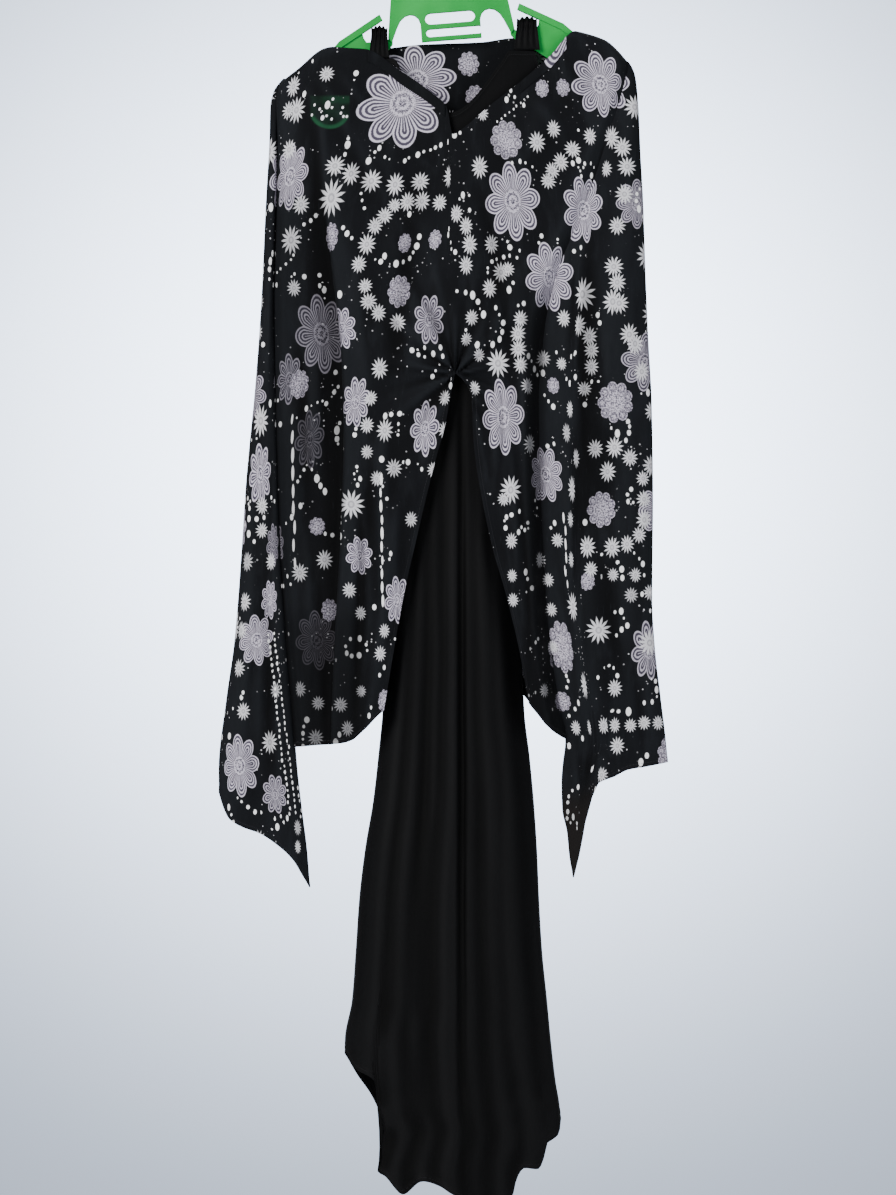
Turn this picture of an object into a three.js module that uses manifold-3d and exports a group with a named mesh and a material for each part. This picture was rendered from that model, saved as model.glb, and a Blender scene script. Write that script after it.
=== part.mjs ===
// A butterfly kaftan on a plastic hanger: a printed outer layer with hanging
// sleeves over a long plain under-dress. Millimetres, +Z up, the front faces -Y.
// The origin is the inside top of the hanger's hook. A "drop" is a distance
// below the origin, so z = -drop, and "depth" is a distance from the plane of
// the hanger, towards the front on front pieces and the back on back pieces.
import * as THREE from 'three';
import { mergeVertices } from 'three/addons/utils/BufferGeometryUtils.js';
import Module from 'manifold-3d';

// ---- driving dimensions -------------------------------------------------

const CLOTH = 1.2; // wall of every cloth piece
const SEAM = 0.3; // gap left between two pieces at a seam
const GATHER = { x: 5, drop: 564 }; // where the front is gathered and the opening starts
const SEAM_SLACK = 0.7; // more room where a panel's edge meets a sleeve at a slant
const SHOULDER_ROLL = 12; // radius of the cloth over the hanger's arm
const SHOULDER_SEAM = 0.9; // depth of the front and back where they meet there
const BAND_WIDTH = 15; // turned neck edge, measured down the panel
const SAG = 3; // how deep the loose drapes of the chest are
const SHOULDER_DROP = 200; // about where the shoulders are
const HEM_DROP = 990; // about where the outer layer's hem is

const HOOK = { inside: 17, rod: 4.5, stem: 66, tipTurn: 0.42 };
const CREST = { half: 76, shoulder: 69, top: 92, bottom: 162, thick: 9 };
const ARM = { rib: 7, ribThick: 10, web: 5 };
const TILT = { angle: 0.08, drop: 150 }; // it hangs askew about there, left arm lower

// ---- shape tables -------------------------------------------------------

// The hanging sleeves, from the shoulder down: the fold on the outside, the
// fold towards the body, the plane of the tube and half its thickness.
const SLEEVE_LEFT = [
  { drop: 209, outer: -203.5, inner: -201.5, plane: 0, half: 1.6 },
  { drop: 214, outer: -209, inner: -202.5, plane: 0, half: 5 },
  { drop: 224, outer: -214, inner: -204, plane: 0, half: 8 },
  { drop: 242, outer: -216.5, inner: -206, plane: 0, half: 10 },
  { drop: 281, outer: -217.5, inner: -208, plane: -1, half: 12 },
  { drop: 354, outer: -221.5, inner: -209, plane: -3, half: 14 },
  { drop: 474, outer: -227, inner: -212, plane: -6, half: 15 },
  { drop: 574, outer: -234, inner: -210.5, plane: -8, half: 15 },
  { drop: 690, outer: -245, inner: -207, plane: -10, half: 15 },
  { drop: 774, outer: -250.5, inner: -203.5, plane: -11, half: 15 },
  { drop: 882, outer: -259, inner: -196.5, plane: -12, half: 15 },
  { drop: 954, outer: -269, inner: -190.5, plane: -12, half: 14 },
  { drop: 1038, outer: -278, inner: -184, plane: -12, half: 12 },
  { drop: 1090, outer: -277, inner: -178, plane: -12, half: 10 },
  { drop: 1134, outer: -277, inner: -172.5, plane: -12, half: 8 },
  { drop: 1180, outer: -277, inner: -169, plane: -12, half: 5 },
];

const SLEEVE_RIGHT = [
  { drop: 189, outer: 214.5, inner: 212, plane: 0, half: 1.6 },
  { drop: 194, outer: 218.5, inner: 211, plane: 0, half: 4 },
  { drop: 205, outer: 221.5, inner: 207, plane: 0, half: 8 },
  { drop: 222, outer: 223.5, inner: 201, plane: 0, half: 11 },
  { drop: 250, outer: 225, inner: 191, plane: -1, half: 14 },
  { drop: 298, outer: 227, inner: 172, plane: -3, half: 17 },
  { drop: 354, outer: 230, inner: 150, plane: -6, half: 19 },
  { drop: 450, outer: 233, inner: 122, plane: -12, half: 20 },
  { drop: 522, outer: 236, inner: 109, plane: -15, half: 20 },
  { drop: 600, outer: 240, inner: 103, plane: -17, half: 20 },
  { drop: 714, outer: 241.5, inner: 106, plane: -18, half: 19 },
  { drop: 834, outer: 240.5, inner: 112, plane: -18, half: 18 },
  { drop: 894, outer: 244, inner: 118, plane: -18, half: 17 },
  { drop: 954, outer: 251, inner: 127, plane: -18, half: 15 },
  { drop: 1004, outer: 257, inner: 137, plane: -17, half: 12 },
  { drop: 1030, outer: 259, inner: 134, plane: -16, half: 11 },
  { drop: 1052, outer: 257, inner: 132.5, plane: -16, half: 10 },
  { drop: 1085, outer: 232, inner: 133.5, plane: -15, half: 8 },
  { drop: 1111, outer: 213, inner: 139, plane: -15, half: 7 },
  { drop: 1141, outer: 196, inner: 142, plane: -15, half: 5 },
  { drop: 1168, outer: 166, inner: 147, plane: -15, half: 3 },
];

// Cuff edges: how far down the sleeve ends, across from the outer fold (0) to
// the inner one (1). Both run out into a pointed tail at the inner fold.
const CUFF_LEFT = [
  { across: 0, drop: 1064 },
  { across: 0.05, drop: 1082 },
  { across: 0.12, drop: 1096 },
  { across: 0.28, drop: 1106 },
  { across: 0.47, drop: 1113 },
  { across: 0.7, drop: 1130 },
  { across: 0.84, drop: 1146 },
  { across: 0.93, drop: 1164 },
  { across: 1, drop: 1178 },
];

const CUFF_RIGHT = [
  { across: 0, drop: 1028 },
  { across: 0.2, drop: 1033 },
  { across: 0.38, drop: 1037 },
  { across: 0.5, drop: 1045 },
  { across: 0.66, drop: 1054 },
  { across: 0.71, drop: 1098 },
  { across: 0.8, drop: 1143 },
  { across: 0.9, drop: 1160 },
  { across: 1, drop: 1166 },
];

// The top edge of the front: the shoulder, the neck edge down to the V and up
// the other side to the right shoulder.
const FRONT_TOP = [
  { x: -201.5, drop: 211 },
  { x: -186, drop: 199 },
  { x: -147, drop: 171.5 },
  { x: -124, drop: 173 },
  { x: -102, drop: 174.5 },
  { x: -61, drop: 200 },
  { x: -18, drop: 231 },
  { x: -5, drop: 244 },
  { x: 2, drop: 277 },
  { x: 17, drop: 268 },
  { x: 41, drop: 247 },
  { x: 85, drop: 212 },
  { x: 118, drop: 183 },
  { x: 150, drop: 152 },
  { x: 164, drop: 155 },
  { x: 186, drop: 163 },
  { x: 200, drop: 175 },
  { x: 212, drop: 189 },
];
const SHOULDER_ENDS = { left: -147, right: 150 }; // the neck lies between these

const BACK_TOP = [
  { x: -201.5, drop: 211 },
  { x: -186, drop: 199 },
  { x: -147, drop: 171.5 },
  { x: -102, drop: 173.5 },
  { x: -72, drop: 170 },
  { x: -37, drop: 166 },
  { x: 37, drop: 163 },
  { x: 76, drop: 158 },
  { x: 104, drop: 158 },
  { x: 150, drop: 152 },
  { x: 164, drop: 155 },
  { x: 186, drop: 163 },
  { x: 200, drop: 175 },
  { x: 212, drop: 189 },
];

// The two edges of the inverted V, from the gathers to the hem.
const OPENING = [
  { drop: 564, left: 5, right: 5 },
  { drop: 572, left: 3, right: 15 },
  { drop: 594, left: -1, right: 25 },
  { drop: 630, left: -8, right: 26 },
  { drop: 666, left: -18, right: 29 },
  { drop: 714, left: -30, right: 37 },
  { drop: 774, left: -44, right: 50 },
  { drop: 822, left: -55, right: 64 },
  { drop: 888, left: -67, right: 80 },
  { drop: 954, left: -78, right: 92 },
  { drop: 1010, left: -88, right: 104 },
];

// Hem of the outer layer.
const FRONT_HEM = [
  { x: -190, drop: 1010 },
  { x: -157, drop: 1007 },
  { x: -130, drop: 1005 },
  { x: -117, drop: 1001 },
  { x: -104, drop: 989 },
  { x: -80, drop: 964 },
  { x: 90, drop: 948 },
  { x: 107, drop: 969 },
  { x: 115, drop: 983 },
  { x: 131, drop: 997 },
  { x: 142, drop: 1003 },
];
const BACK_HEM = [
  { x: -190, drop: 1008 },
  { x: -120, drop: 1000 },
  { x: -100, drop: 984 },
  { x: -84, drop: 960 },
  { x: 0, drop: 942 },
  { x: 90, drop: 944 },
  { x: 107, drop: 965 },
  { x: 131, drop: 994 },
  { x: 142, drop: 1000 },
];

// How far forward the front lies, and how far back the back does.
const FRONT_DEPTH = [
  { drop: 150, depth: 13.5, back: 13.5 },
  { drop: 200, depth: 16, back: 17 },
  { drop: 277, depth: 23, back: 22 },
  { drop: 354, depth: 32, back: 27 },
  { drop: 474, depth: 39, back: 33 },
  { drop: 564, depth: 42, back: 36 },
  { drop: 714, depth: 45, back: 38 },
  { drop: 1010, depth: 48, back: 40 },
];

// The overhanging fold left of the body. Outside it the cloth lies back.
const LEFT_FOLD = [
  { drop: 230, x: -160, recess: 0 },
  { drop: 294, x: -155, recess: 2 },
  { drop: 360, x: -151, recess: 7 },
  { drop: 450, x: -140, recess: 15 },
  { drop: 540, x: -130, recess: 19 },
  { drop: 640, x: -127, recess: 18 },
  { drop: 760, x: -131, recess: 15 },
  { drop: 900, x: -139, recess: 13 },
  { drop: 1010, x: -143, recess: 12 },
];
const FOLD_TURN = 9; // how wide the turn of that fold is
const FOLD_LEAN = 13; // how far its edge hangs over

// Loose folds of the outer layer: a crest (or, when high is negative, a
// trough) that runs from one place to another and fades out at both ends.
const FRONT_FOLDS = [
  { fromX: -167, fromDrop: 500, toX: -158, toDrop: 690, wide: 9, high: 5 },
  { fromX: -190, fromDrop: 600, toX: -182, toDrop: 760, wide: 8, high: 4 },
  { fromX: -84, fromDrop: 620, toX: -78, toDrop: 830, wide: 9, high: 5 },
  { fromX: -104, fromDrop: 700, toX: -112, toDrop: 1000, wide: 9, high: -6 },
  { fromX: -62, fromDrop: 690, toX: -92, toDrop: 960, wide: 8, high: 4 },
  { fromX: 56, fromDrop: 560, toX: 84, toDrop: 900, wide: 10, high: 4 },
  { fromX: 40, fromDrop: 330, toX: 86, toDrop: 640, wide: 12, high: -4 },
  { fromX: -40, fromDrop: 330, toX: -74, toDrop: 600, wide: 14, high: -3 },
  { fromX: -120, fromDrop: 250, toX: -30, toDrop: 420, wide: 16, high: 3 },
  { fromX: 120, fromDrop: 230, toX: 40, toDrop: 400, wide: 16, high: 3 },
];
const SLEEVE_FOLDS = [
  { fromX: 136, fromDrop: 640, toX: 141, toDrop: 800, wide: 8, high: 5 },
  { fromX: 168, fromDrop: 380, toX: 158, toDrop: 700, wide: 12, high: -4 },
  { fromX: 200, fromDrop: 300, toX: 208, toDrop: 900, wide: 12, high: 3 },
  { fromX: 182, fromDrop: 760, toX: 196, toDrop: 1020, wide: 12, high: -3 },
  { fromX: -243, fromDrop: 700, toX: -252, toDrop: 1080, wide: 9, high: 2.5 },
  { fromX: -222, fromDrop: 760, toX: -216, toDrop: 1100, wide: 9, high: -3 },
];
const BACK_FOLDS = [
  { fromX: -150, fromDrop: 240, toX: -120, toDrop: 1000, wide: 14, high: 6 },
  { fromX: -100, fromDrop: 420, toX: -78, toDrop: 1000, wide: 12, high: -6 },
  { fromX: -40, fromDrop: 240, toX: -30, toDrop: 1000, wide: 16, high: 6 },
  { fromX: 15, fromDrop: 380, toX: 12, toDrop: 1000, wide: 12, high: -6 },
  { fromX: 62, fromDrop: 240, toX: 55, toDrop: 1000, wide: 15, high: 6 },
  { fromX: 120, fromDrop: 240, toX: 96, toDrop: 1000, wide: 13, high: -5 },
];
const GATHERS = { count: 9, high: 3.2, reach: 62, start: 10 };

// The under-dress: its side edges and half its thickness.
const DRESS = [
  { drop: 172, left: -104, right: 109, half: 11 },
  { drop: 220, left: -112, right: 116, half: 12 },
  { drop: 300, left: -118, right: 120, half: 14 },
  { drop: 420, left: -100, right: 100, half: 19 },
  { drop: 564, left: -82, right: 82, half: 24 },
  { drop: 714, left: -74, right: 80, half: 27 },
  { drop: 880, left: -76, right: 84, half: 29 },
  { drop: 971, left: -82, right: 88, half: 30 },
  { drop: 1021, left: -87, right: 94, half: 31 },
  { drop: 1074, left: -93, right: 99, half: 32 },
  { drop: 1134, left: -103, right: 103, half: 33 },
  { drop: 1194, left: -110, right: 105.5, half: 34 },
  { drop: 1254, left: -114, right: 109, half: 35 },
  { drop: 1314, left: -118.5, right: 115, half: 36 },
  { drop: 1362, left: -127, right: 119.5, half: 37 },
  { drop: 1410, left: -124, right: 125, half: 37 },
  { drop: 1458, left: -112, right: 132, half: 38 },
  { drop: 1556, left: -100, right: 128, half: 38 },
];
const DRESS_TOP = [
  { x: -120, drop: 262 },
  { x: -106, drop: 214 },
  { x: -100, drop: 185.5 },
  { x: -74, drop: 185.5 },
  { x: -60, drop: 203 },
  { x: -1, drop: 250 },
  { x: 66, drop: 186 },
  { x: 75, drop: 175.5 },
  { x: 107, drop: 175.5 },
  { x: 111, drop: 206 },
  { x: 122, drop: 256 },
];
// The hem, across from the left side (0) to the right (1).
const DRESS_HEM = [
  { across: 0, front: 1372, back: 1378 },
  { across: 0.05, front: 1394, back: 1402 },
  { across: 0.14, front: 1408, back: 1440 },
  { across: 0.17, front: 1506, back: 1470 },
  { across: 0.25, front: 1526, back: 1500 },
  { across: 0.33, front: 1536, back: 1520 },
  { across: 0.4, front: 1530, back: 1530 },
  { across: 0.5, front: 1542, back: 1538 },
  { across: 0.62, front: 1554, back: 1544 },
  { across: 0.76, front: 1546, back: 1540 },
  { across: 0.8, front: 1516, back: 1520 },
  { across: 0.9, front: 1510, back: 1496 },
  { across: 0.94, front: 1474, back: 1470 },
  { across: 1, front: 1452, back: 1450 },
];
// Long folds of the skirt: where each crest lies across, at the gathers and at
// the hem, how wide it is there and how high.
const SKIRT_FOLDS = [
  { top: 0.13, hem: 0.1, wide: 0.05, high: 13 },
  { top: 0.25, hem: 0.24, wide: 0.045, high: 15 },
  { top: 0.36, hem: 0.37, wide: 0.05, high: 17 },
  { top: 0.49, hem: 0.49, wide: 0.045, high: 21 },
  { top: 0.61, hem: 0.61, wide: 0.05, high: 16 },
  { top: 0.71, hem: 0.73, wide: 0.045, high: 15 },
  { top: 0.83, hem: 0.86, wide: 0.05, high: 13 },
];

const SKIRT_TROUGH = 8; // how far the cloth between those folds falls back

// The straps, gathered into ribs where they pass over the hanger.
const STRAPS = [
  { name: 'strap_left', x: -86, wide: 19, top: 149, foot: 185 },
  { name: 'strap_right', x: 91, wide: 24, top: 138, foot: 175 },
];
const STRAP = { ribs: 4, ribHigh: 1.1, halfThick: 7.4, footDepth: 10.5, flare: 0.3, arch: 3 };

// ---- small helpers ------------------------------------------------------

const mix = (a, b, t) => a + (b - a) * t;
const clamp01 = (t) => Math.min(1, Math.max(0, t));

function smooth(from, to, value) {
  const t = clamp01((value - from) / (to - from));
  return t * t * (3 - 2 * t);
}

// Reads one named column of a table at a place given in another, along a
// smooth curve that doesn't overshoot its rows.
function read(table, at, key, by) {
  if (at <= table[0][by]) return table[0][key];
  const last = table.length - 1;
  if (at >= table[last][by]) return table[last][key];
  const i = table.findIndex((row) => row[by] > at) - 1;
  const slopeOf = (j) => (table[j + 1][key] - table[j][key]) / (table[j + 1][by] - table[j][by]);
  const tangent = (j) => {
    if (j === 0 || j === last) return slopeOf(Math.min(j, last - 1));
    const before = slopeOf(j - 1);
    const after = slopeOf(j);
    return before * after <= 0 ? 0 : (2 * before * after) / (before + after);
  };
  const span = table[i + 1][by] - table[i][by];
  const t = (at - table[i][by]) / span;
  const rise = table[i + 1][key] - table[i][key];
  const a = tangent(i) * span - rise;
  const b = rise - tangent(i + 1) * span;
  return mix(table[i][key], table[i + 1][key], t) + t * (1 - t) * (a * (1 - t) + b * t);
}

const steps = (count) => Array.from({ length: count + 1 }, (_, i) => i / count);

// Height at a point of all the folds in a table, fading out at their ends.
function foldHeight(folds, x, drop) {
  return folds.reduce((sum, fold) => {
    const along = (drop - fold.fromDrop) / (fold.toDrop - fold.fromDrop);
    if (along <= 0 || along >= 1) return sum;
    const off = (x - mix(fold.fromX, fold.toX, along)) / fold.wide;
    return sum + fold.high * Math.exp(-off * off) * Math.sin(Math.PI * along) ** 0.8;
  }, 0);
}

// ---- cloth walls --------------------------------------------------------

// A skin is a list of quads on welded points, the middle of a cloth wall.
function skin() {
  const points = [];
  const quads = [];
  const known = new Map();
  const add = (p) => {
    const name = p.toArray().map((v) => v.toFixed(3)).join(' ');
    if (!known.has(name)) {
      known.set(name, points.length);
      points.push(p);
    }
    return known.get(name);
  };
  // Adds a grid of points given by across and along values.
  const grid = (acrosses, alongs, pointAt) => {
    const rows = alongs.map((b) => acrosses.map((a) => add(pointAt(a, b))));
    for (let r = 0; r + 1 < rows.length; r += 1) {
      for (let c = 0; c + 1 < acrosses.length; c += 1) {
        quads.push([rows[r][c], rows[r + 1][c], rows[r + 1][c + 1], rows[r][c + 1]]);
      }
    }
  };
  return { points, quads, grid };
}

// Splits each quad along its shorter diagonal.
function trianglesOf({ points, quads }) {
  const out = [];
  quads.forEach(([a, b, c, d]) => {
    const shortAC = points[a].distanceTo(points[c]) <= points[b].distanceTo(points[d]);
    const pair = shortAC ? [[a, b, c], [a, c, d]] : [[b, c, d], [b, d, a]];
    pair.forEach((t) => {
      if (new Set(t).size === 3) out.push(t);
    });
  });
  return out;
}

function normalsOf(points, triangles) {
  const normals = points.map(() => new THREE.Vector3());
  triangles.forEach(([a, b, c]) => {
    const ab = points[b].clone().sub(points[a]);
    const ac = points[c].clone().sub(points[a]);
    const n = ab.cross(ac);
    [a, b, c].forEach((i) => normals[i].add(n));
  });
  return normals.map((n) => n.normalize());
}

// Turns a skin into a closed wall: two faces and a rim along every free edge.
function thicken(middle, wall) {
  const triangles = trianglesOf(middle);
  const normals = normalsOf(middle.points, triangles);
  const count = middle.points.length;
  const positions = [];
  [wall / 2, -wall / 2].forEach((offset) => {
    middle.points.forEach((p, i) => {
      positions.push(...p.clone().addScaledVector(normals[i], offset).toArray());
    });
  });
  const free = new Map();
  triangles.forEach((t) => {
    t.forEach((from, k) => {
      const to = t[(k + 1) % 3];
      if (!free.delete(`${to} ${from}`)) free.set(`${from} ${to}`, [from, to]);
    });
  });
  const index = [];
  triangles.forEach(([a, b, c]) => index.push(a, b, c, c + count, b + count, a + count));
  free.forEach(([a, b]) => index.push(b, a, a + count, b, a + count, b + count));
  const geometry = new THREE.BufferGeometry();
  geometry.setAttribute('position', new THREE.Float32BufferAttribute(positions, 3));
  geometry.setIndex(index);
  return geometry;
}

// ---- the outer layer ----------------------------------------------------

const sleeveTable = (side) => (side === 'left' ? SLEEVE_LEFT : SLEEVE_RIGHT);
const outwards = (side) => (side === 'left' ? -1 : 1);

// Where the front or back ends beside a sleeve.
function panelEdge(side, drop) {
  const inner = read(sleeveTable(side), drop, 'inner', 'drop');
  return inner - outwards(side) * (CLOTH / 2 + SEAM + SEAM_SLACK);
}

// Over the shoulder the cloth rolls from the top of the arm down its side.
function shoulderRoll(x, below) {
  const past = Math.max(SHOULDER_ENDS.left - x, x - SHOULDER_ENDS.right);
  const share = smooth(-6, 4, past);
  const t = clamp01(below / SHOULDER_ROLL);
  return mix(1, Math.sqrt(1 - (1 - t) ** 2), share);
}

// The drop of a panel's top edge where one of its columns of points meets it.
function topEdge(table, columnX) {
  const nearby = read(table, columnX(SHOULDER_DROP), 'drop', 'x');
  return read(table, columnX(nearby), 'drop', 'x');
}

// The front is two halves that meet above the gathers and part below them.
function frontX(side, across, drop) {
  const edge = panelEdge(side, drop);
  const middle = read(OPENING, drop, side, 'drop');
  return mix(edge, middle, across);
}

function gatherHeight(x, drop) {
  const dx = x - GATHER.x;
  const dz = drop - GATHER.drop;
  const away = Math.hypot(dx, dz);
  const turn = Math.atan2(dx, -dz);
  const fade = smooth(0, GATHERS.start, away) * Math.exp(-away / GATHERS.reach);
  return GATHERS.high * fade * Math.cos(GATHERS.count * turn);
}

function frontDepth(side, x, drop, below) {
  const base = read(FRONT_DEPTH, drop, 'depth', 'drop');
  const drapes = SAG * Math.cos((x - GATHER.x) / 34) * smooth(280, 400, drop)
    * (1 - smooth(480, 600, drop));
  let depth = base + foldHeight(FRONT_FOLDS, x, drop) + gatherHeight(x, drop) + drapes;
  if (side === 'left') {
    const inside = (x - read(LEFT_FOLD, drop, 'x', 'drop')) / FOLD_TURN;
    depth -= read(LEFT_FOLD, drop, 'recess', 'drop') * (1 - smooth(-1, 1, inside));
  }
  const table = sleeveTable(side);
  const plane = read(table, drop, 'plane', 'drop');
  const half = read(table, drop, 'half', 'drop');
  const edgeDepth = -plane + half * 0.35;
  const fromEdge = Math.abs(x - panelEdge(side, drop));
  const reach = (side === 'left' ? 14 : 20) - 8 * (1 - smooth(230, 330, drop));
  const settled = mix(edgeDepth, depth, smooth(0, reach, fromEdge));
  return Math.max(SHOULDER_SEAM, settled * shoulderRoll(x, below));
}

// Pulls the cloth beside the left fold so that its edge hangs over.
function foldLean(side, x, drop) {
  if (side !== 'left') return 0;
  const off = (x - read(LEFT_FOLD, drop, 'x', 'drop')) / FOLD_TURN;
  const strength = smooth(4, 16, read(LEFT_FOLD, drop, 'recess', 'drop'));
  return -FOLD_LEAN * strength * off * Math.exp(-off * off);
}

function frontAt(side, across, drop, below) {
  const x = frontX(side, across, drop);
  const depth = frontDepth(side, x, drop, below);
  return new THREE.Vector3(x + foldLean(side, x, drop), -depth, -drop);
}

// The rows above the gathers (0 to 1) start at the neck or shoulder and those
// below them (1 to 2) end at the hem.
function frontRow(side, across, along) {
  const top = topEdge(FRONT_TOP, (drop) => frontX(side, across, drop));
  if (along <= 1) {
    const drop = mix(top, GATHER.drop, along);
    return frontAt(side, across, drop, drop - top);
  }
  const hem = read(FRONT_HEM, frontX(side, across, HEM_DROP), 'drop', 'x');
  const drop = mix(GATHER.drop, hem, along - 1);
  return frontAt(side, across, drop, drop - top);
}

const TOP_ROWS = [0, 0.006, 0.02, 0.045, 0.1, 0.18, 0.27, 0.37, 0.47, 0.57, 0.67, 0.77, 0.86, 0.94];
const LOW_ROWS = [1, 1.03, 1.08, 1.15, 1.24, 1.34, 1.45, 1.56, 1.67, 1.78, 1.89, 2];

function frontColumns(side) {
  if (side === 'left') {
    return [0, 0.05, 0.1, 0.16, 0.22, 0.27, 0.31, 0.34, 0.37, 0.4, 0.43, 0.47, 0.53, 0.6, 0.67,
      0.74, 0.81, 0.87, 0.93, 1];
  }
  return [0, 0.06, 0.12, 0.2, 0.3, 0.4, 0.5, 0.6, 0.7, 0.79, 0.87, 0.94, 1];
}

function frontSkin() {
  const cloth = skin();
  const rows = [...TOP_ROWS, ...LOW_ROWS];
  cloth.grid(frontColumns('left'), rows, (a, b) => frontRow('left', a, b));
  const mirrored = frontColumns('right').reverse();
  cloth.grid(mirrored, rows, (a, b) => frontRow('right', a, b));
  return cloth;
}

function backAt(across, along) {
  const columnX = (drop) => mix(panelEdge('left', drop), panelEdge('right', drop), across);
  const top = topEdge(BACK_TOP, columnX);
  const hem = read(BACK_HEM, columnX(HEM_DROP), 'drop', 'x');
  const drop = mix(top, hem, along);
  const x = columnX(drop);
  const side = across < 0.5 ? 'left' : 'right';
  const table = sleeveTable(side);
  const half = read(table, drop, 'half', 'drop');
  const edgeDepth = read(table, drop, 'plane', 'drop') + half * 0.35;
  const fromEdge = Math.abs(x - panelEdge(side, drop));
  const depth = read(FRONT_DEPTH, drop, 'back', 'drop') + foldHeight(BACK_FOLDS, x, drop);
  const reach = 28 - 18 * (1 - smooth(230, 360, drop));
  const settled = mix(edgeDepth, depth, smooth(0, reach, fromEdge));
  const y = Math.max(SHOULDER_SEAM, settled * shoulderRoll(x, drop - top));
  return new THREE.Vector3(x, y, -drop);
}

const BACK_ROWS = [0, 0.003, 0.009, 0.02, 0.06, 0.12, 0.2, 0.3, 0.4, 0.5, 0.6, 0.7, 0.8, 0.9, 1];

function backSkin() {
  const cloth = skin();
  cloth.grid(steps(26).reverse(), BACK_ROWS, backAt);
  return cloth;
}

// A sleeve is a flat tube, closed where it leaves the shoulder and open at the
// cuff. Turn runs once round it, starting at the inner fold.
function sleeveAt(side, turn, along) {
  const table = sleeveTable(side);
  const cuff = side === 'left' ? CUFF_LEFT : CUFF_RIGHT;
  const angle = turn * 2 * Math.PI;
  const round = (v) => Math.sign(v) * Math.abs(v) ** 0.75;
  const across = (1 + round(Math.cos(angle))) / 2;
  const top = table[0].drop;
  const drop = mix(top, read(cuff, across, 'drop', 'across'), along);
  const outer = read(table, drop, 'outer', 'drop');
  const x = mix(outer, read(table, drop, 'inner', 'drop'), across);
  const half = read(table, drop, 'half', 'drop');
  const out = round(Math.sin(angle));
  const fold = foldHeight(SLEEVE_FOLDS, x, drop) * Math.max(0, -out) * clamp01(half / 12);
  const plane = read(table, drop, 'plane', 'drop');
  return new THREE.Vector3(x, plane + half * out - fold, -drop);
}

const SLEEVE_ROWS = [0, 0.006, 0.018, 0.04, 0.08, 0.14, 0.22, 0.31, 0.4, 0.49, 0.58, 0.67, 0.76, 0.84,
  0.91, 0.96, 1];

function sleeveSkin(side, around) {
  const cloth = skin();
  const turns = steps(around);
  if (side === 'left') turns.reverse();
  cloth.grid(turns, SLEEVE_ROWS, (turn, along) => sleeveAt(side, turn, along));
  return closeTop(cloth, turns.length - 1);
}

// Closes the small loop at the head of a tube with quads across it.
function closeTop(cloth, around) {
  const loop = cloth.quads.slice(0, around).map((quad) => quad[0]);
  for (let i = 0; i < around / 2 - 1; i += 1) {
    cloth.quads.push([loop[i], loop[i + 1], loop[around - 2 - i], loop[around - 1 - i]]);
  }
  return cloth;
}

// The turned neck edge lies on the front panel, moved out from its points.
function bandSkin(side, fromX, toX, columns) {
  const cloth = skin();
  const lift = CLOTH + SEAM;
  const point = (a, b) => {
    const x = mix(fromX, toX, a);
    const top = read(FRONT_TOP, x, 'drop', 'x');
    const edge = panelEdge(side, top);
    const across = (x - edge) / (read(OPENING, top, side, 'drop') - edge);
    const at = (ac, d) => frontAt(side, ac, d, d - top + 2);
    const drop = top + 1 + b * BAND_WIDTH;
    const here = at(across, drop);
    const du = at(across + 0.01, drop).sub(at(across - 0.01, drop));
    const dv = at(across, drop + 1).sub(at(across, drop - 1));
    const normal = du.cross(dv).normalize();
    if (normal.y > 0) normal.negate();
    return here.addScaledVector(normal, lift);
  };
  cloth.grid(steps(columns), [0, 0.5, 1], point);
  return cloth;
}

// ---- the under-dress ----------------------------------------------------

function skirtFolds(across, drop, facing) {
  const along = smooth(GATHER.drop - 60, 1500, drop);
  const size = smooth(430, 1100, drop);
  return SKIRT_FOLDS.reduce((sum, fold, i) => {
    const place = mix(fold.top, fold.hem, along) + (facing > 0 ? 0.06 : 0);
    const off = (across - place) / fold.wide;
    const high = facing > 0 ? 0.7 * SKIRT_FOLDS[SKIRT_FOLDS.length - 1 - i].high : fold.high;
    return sum + high * size * Math.exp(-off * off);
  }, -SKIRT_TROUGH * size);
}

// facing is -1 for the front of the dress and 1 for its back.
function dressAt(facing, across, along) {
  const edge = (key, drop) => read(DRESS, drop, key, 'drop');
  const topX = mix(edge('left', 240), edge('right', 240), across);
  const top = read(DRESS_TOP, topX, 'drop', 'x');
  const hem = read(DRESS_HEM, across, facing < 0 ? 'front' : 'back', 'across');
  const drop = mix(top, hem, along);
  const x = mix(edge('left', drop), edge('right', drop), across);
  const round = (1 - Math.abs(2 * across - 1) ** 3) ** 0.45;
  const depth = edge('half', drop) + skirtFolds(across, drop, facing);
  return new THREE.Vector3(x, facing * Math.max(0.8, depth * round), -drop);
}

const DRESS_ROWS = [0, 0.03, 0.07, 0.13, 0.2, 0.28, 0.36, 0.44, 0.52, 0.6, 0.68, 0.76, 0.84, 0.92, 1];

function dressSkin(facing, columns) {
  const cloth = skin();
  const acrosses = steps(columns).map((t) => (1 - Math.cos(Math.PI * t)) * 0.15 + t * 0.7);
  if (facing > 0) acrosses.reverse();
  cloth.grid(acrosses, DRESS_ROWS, (a, b) => dressAt(facing, a, b));
  return cloth;
}

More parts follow.
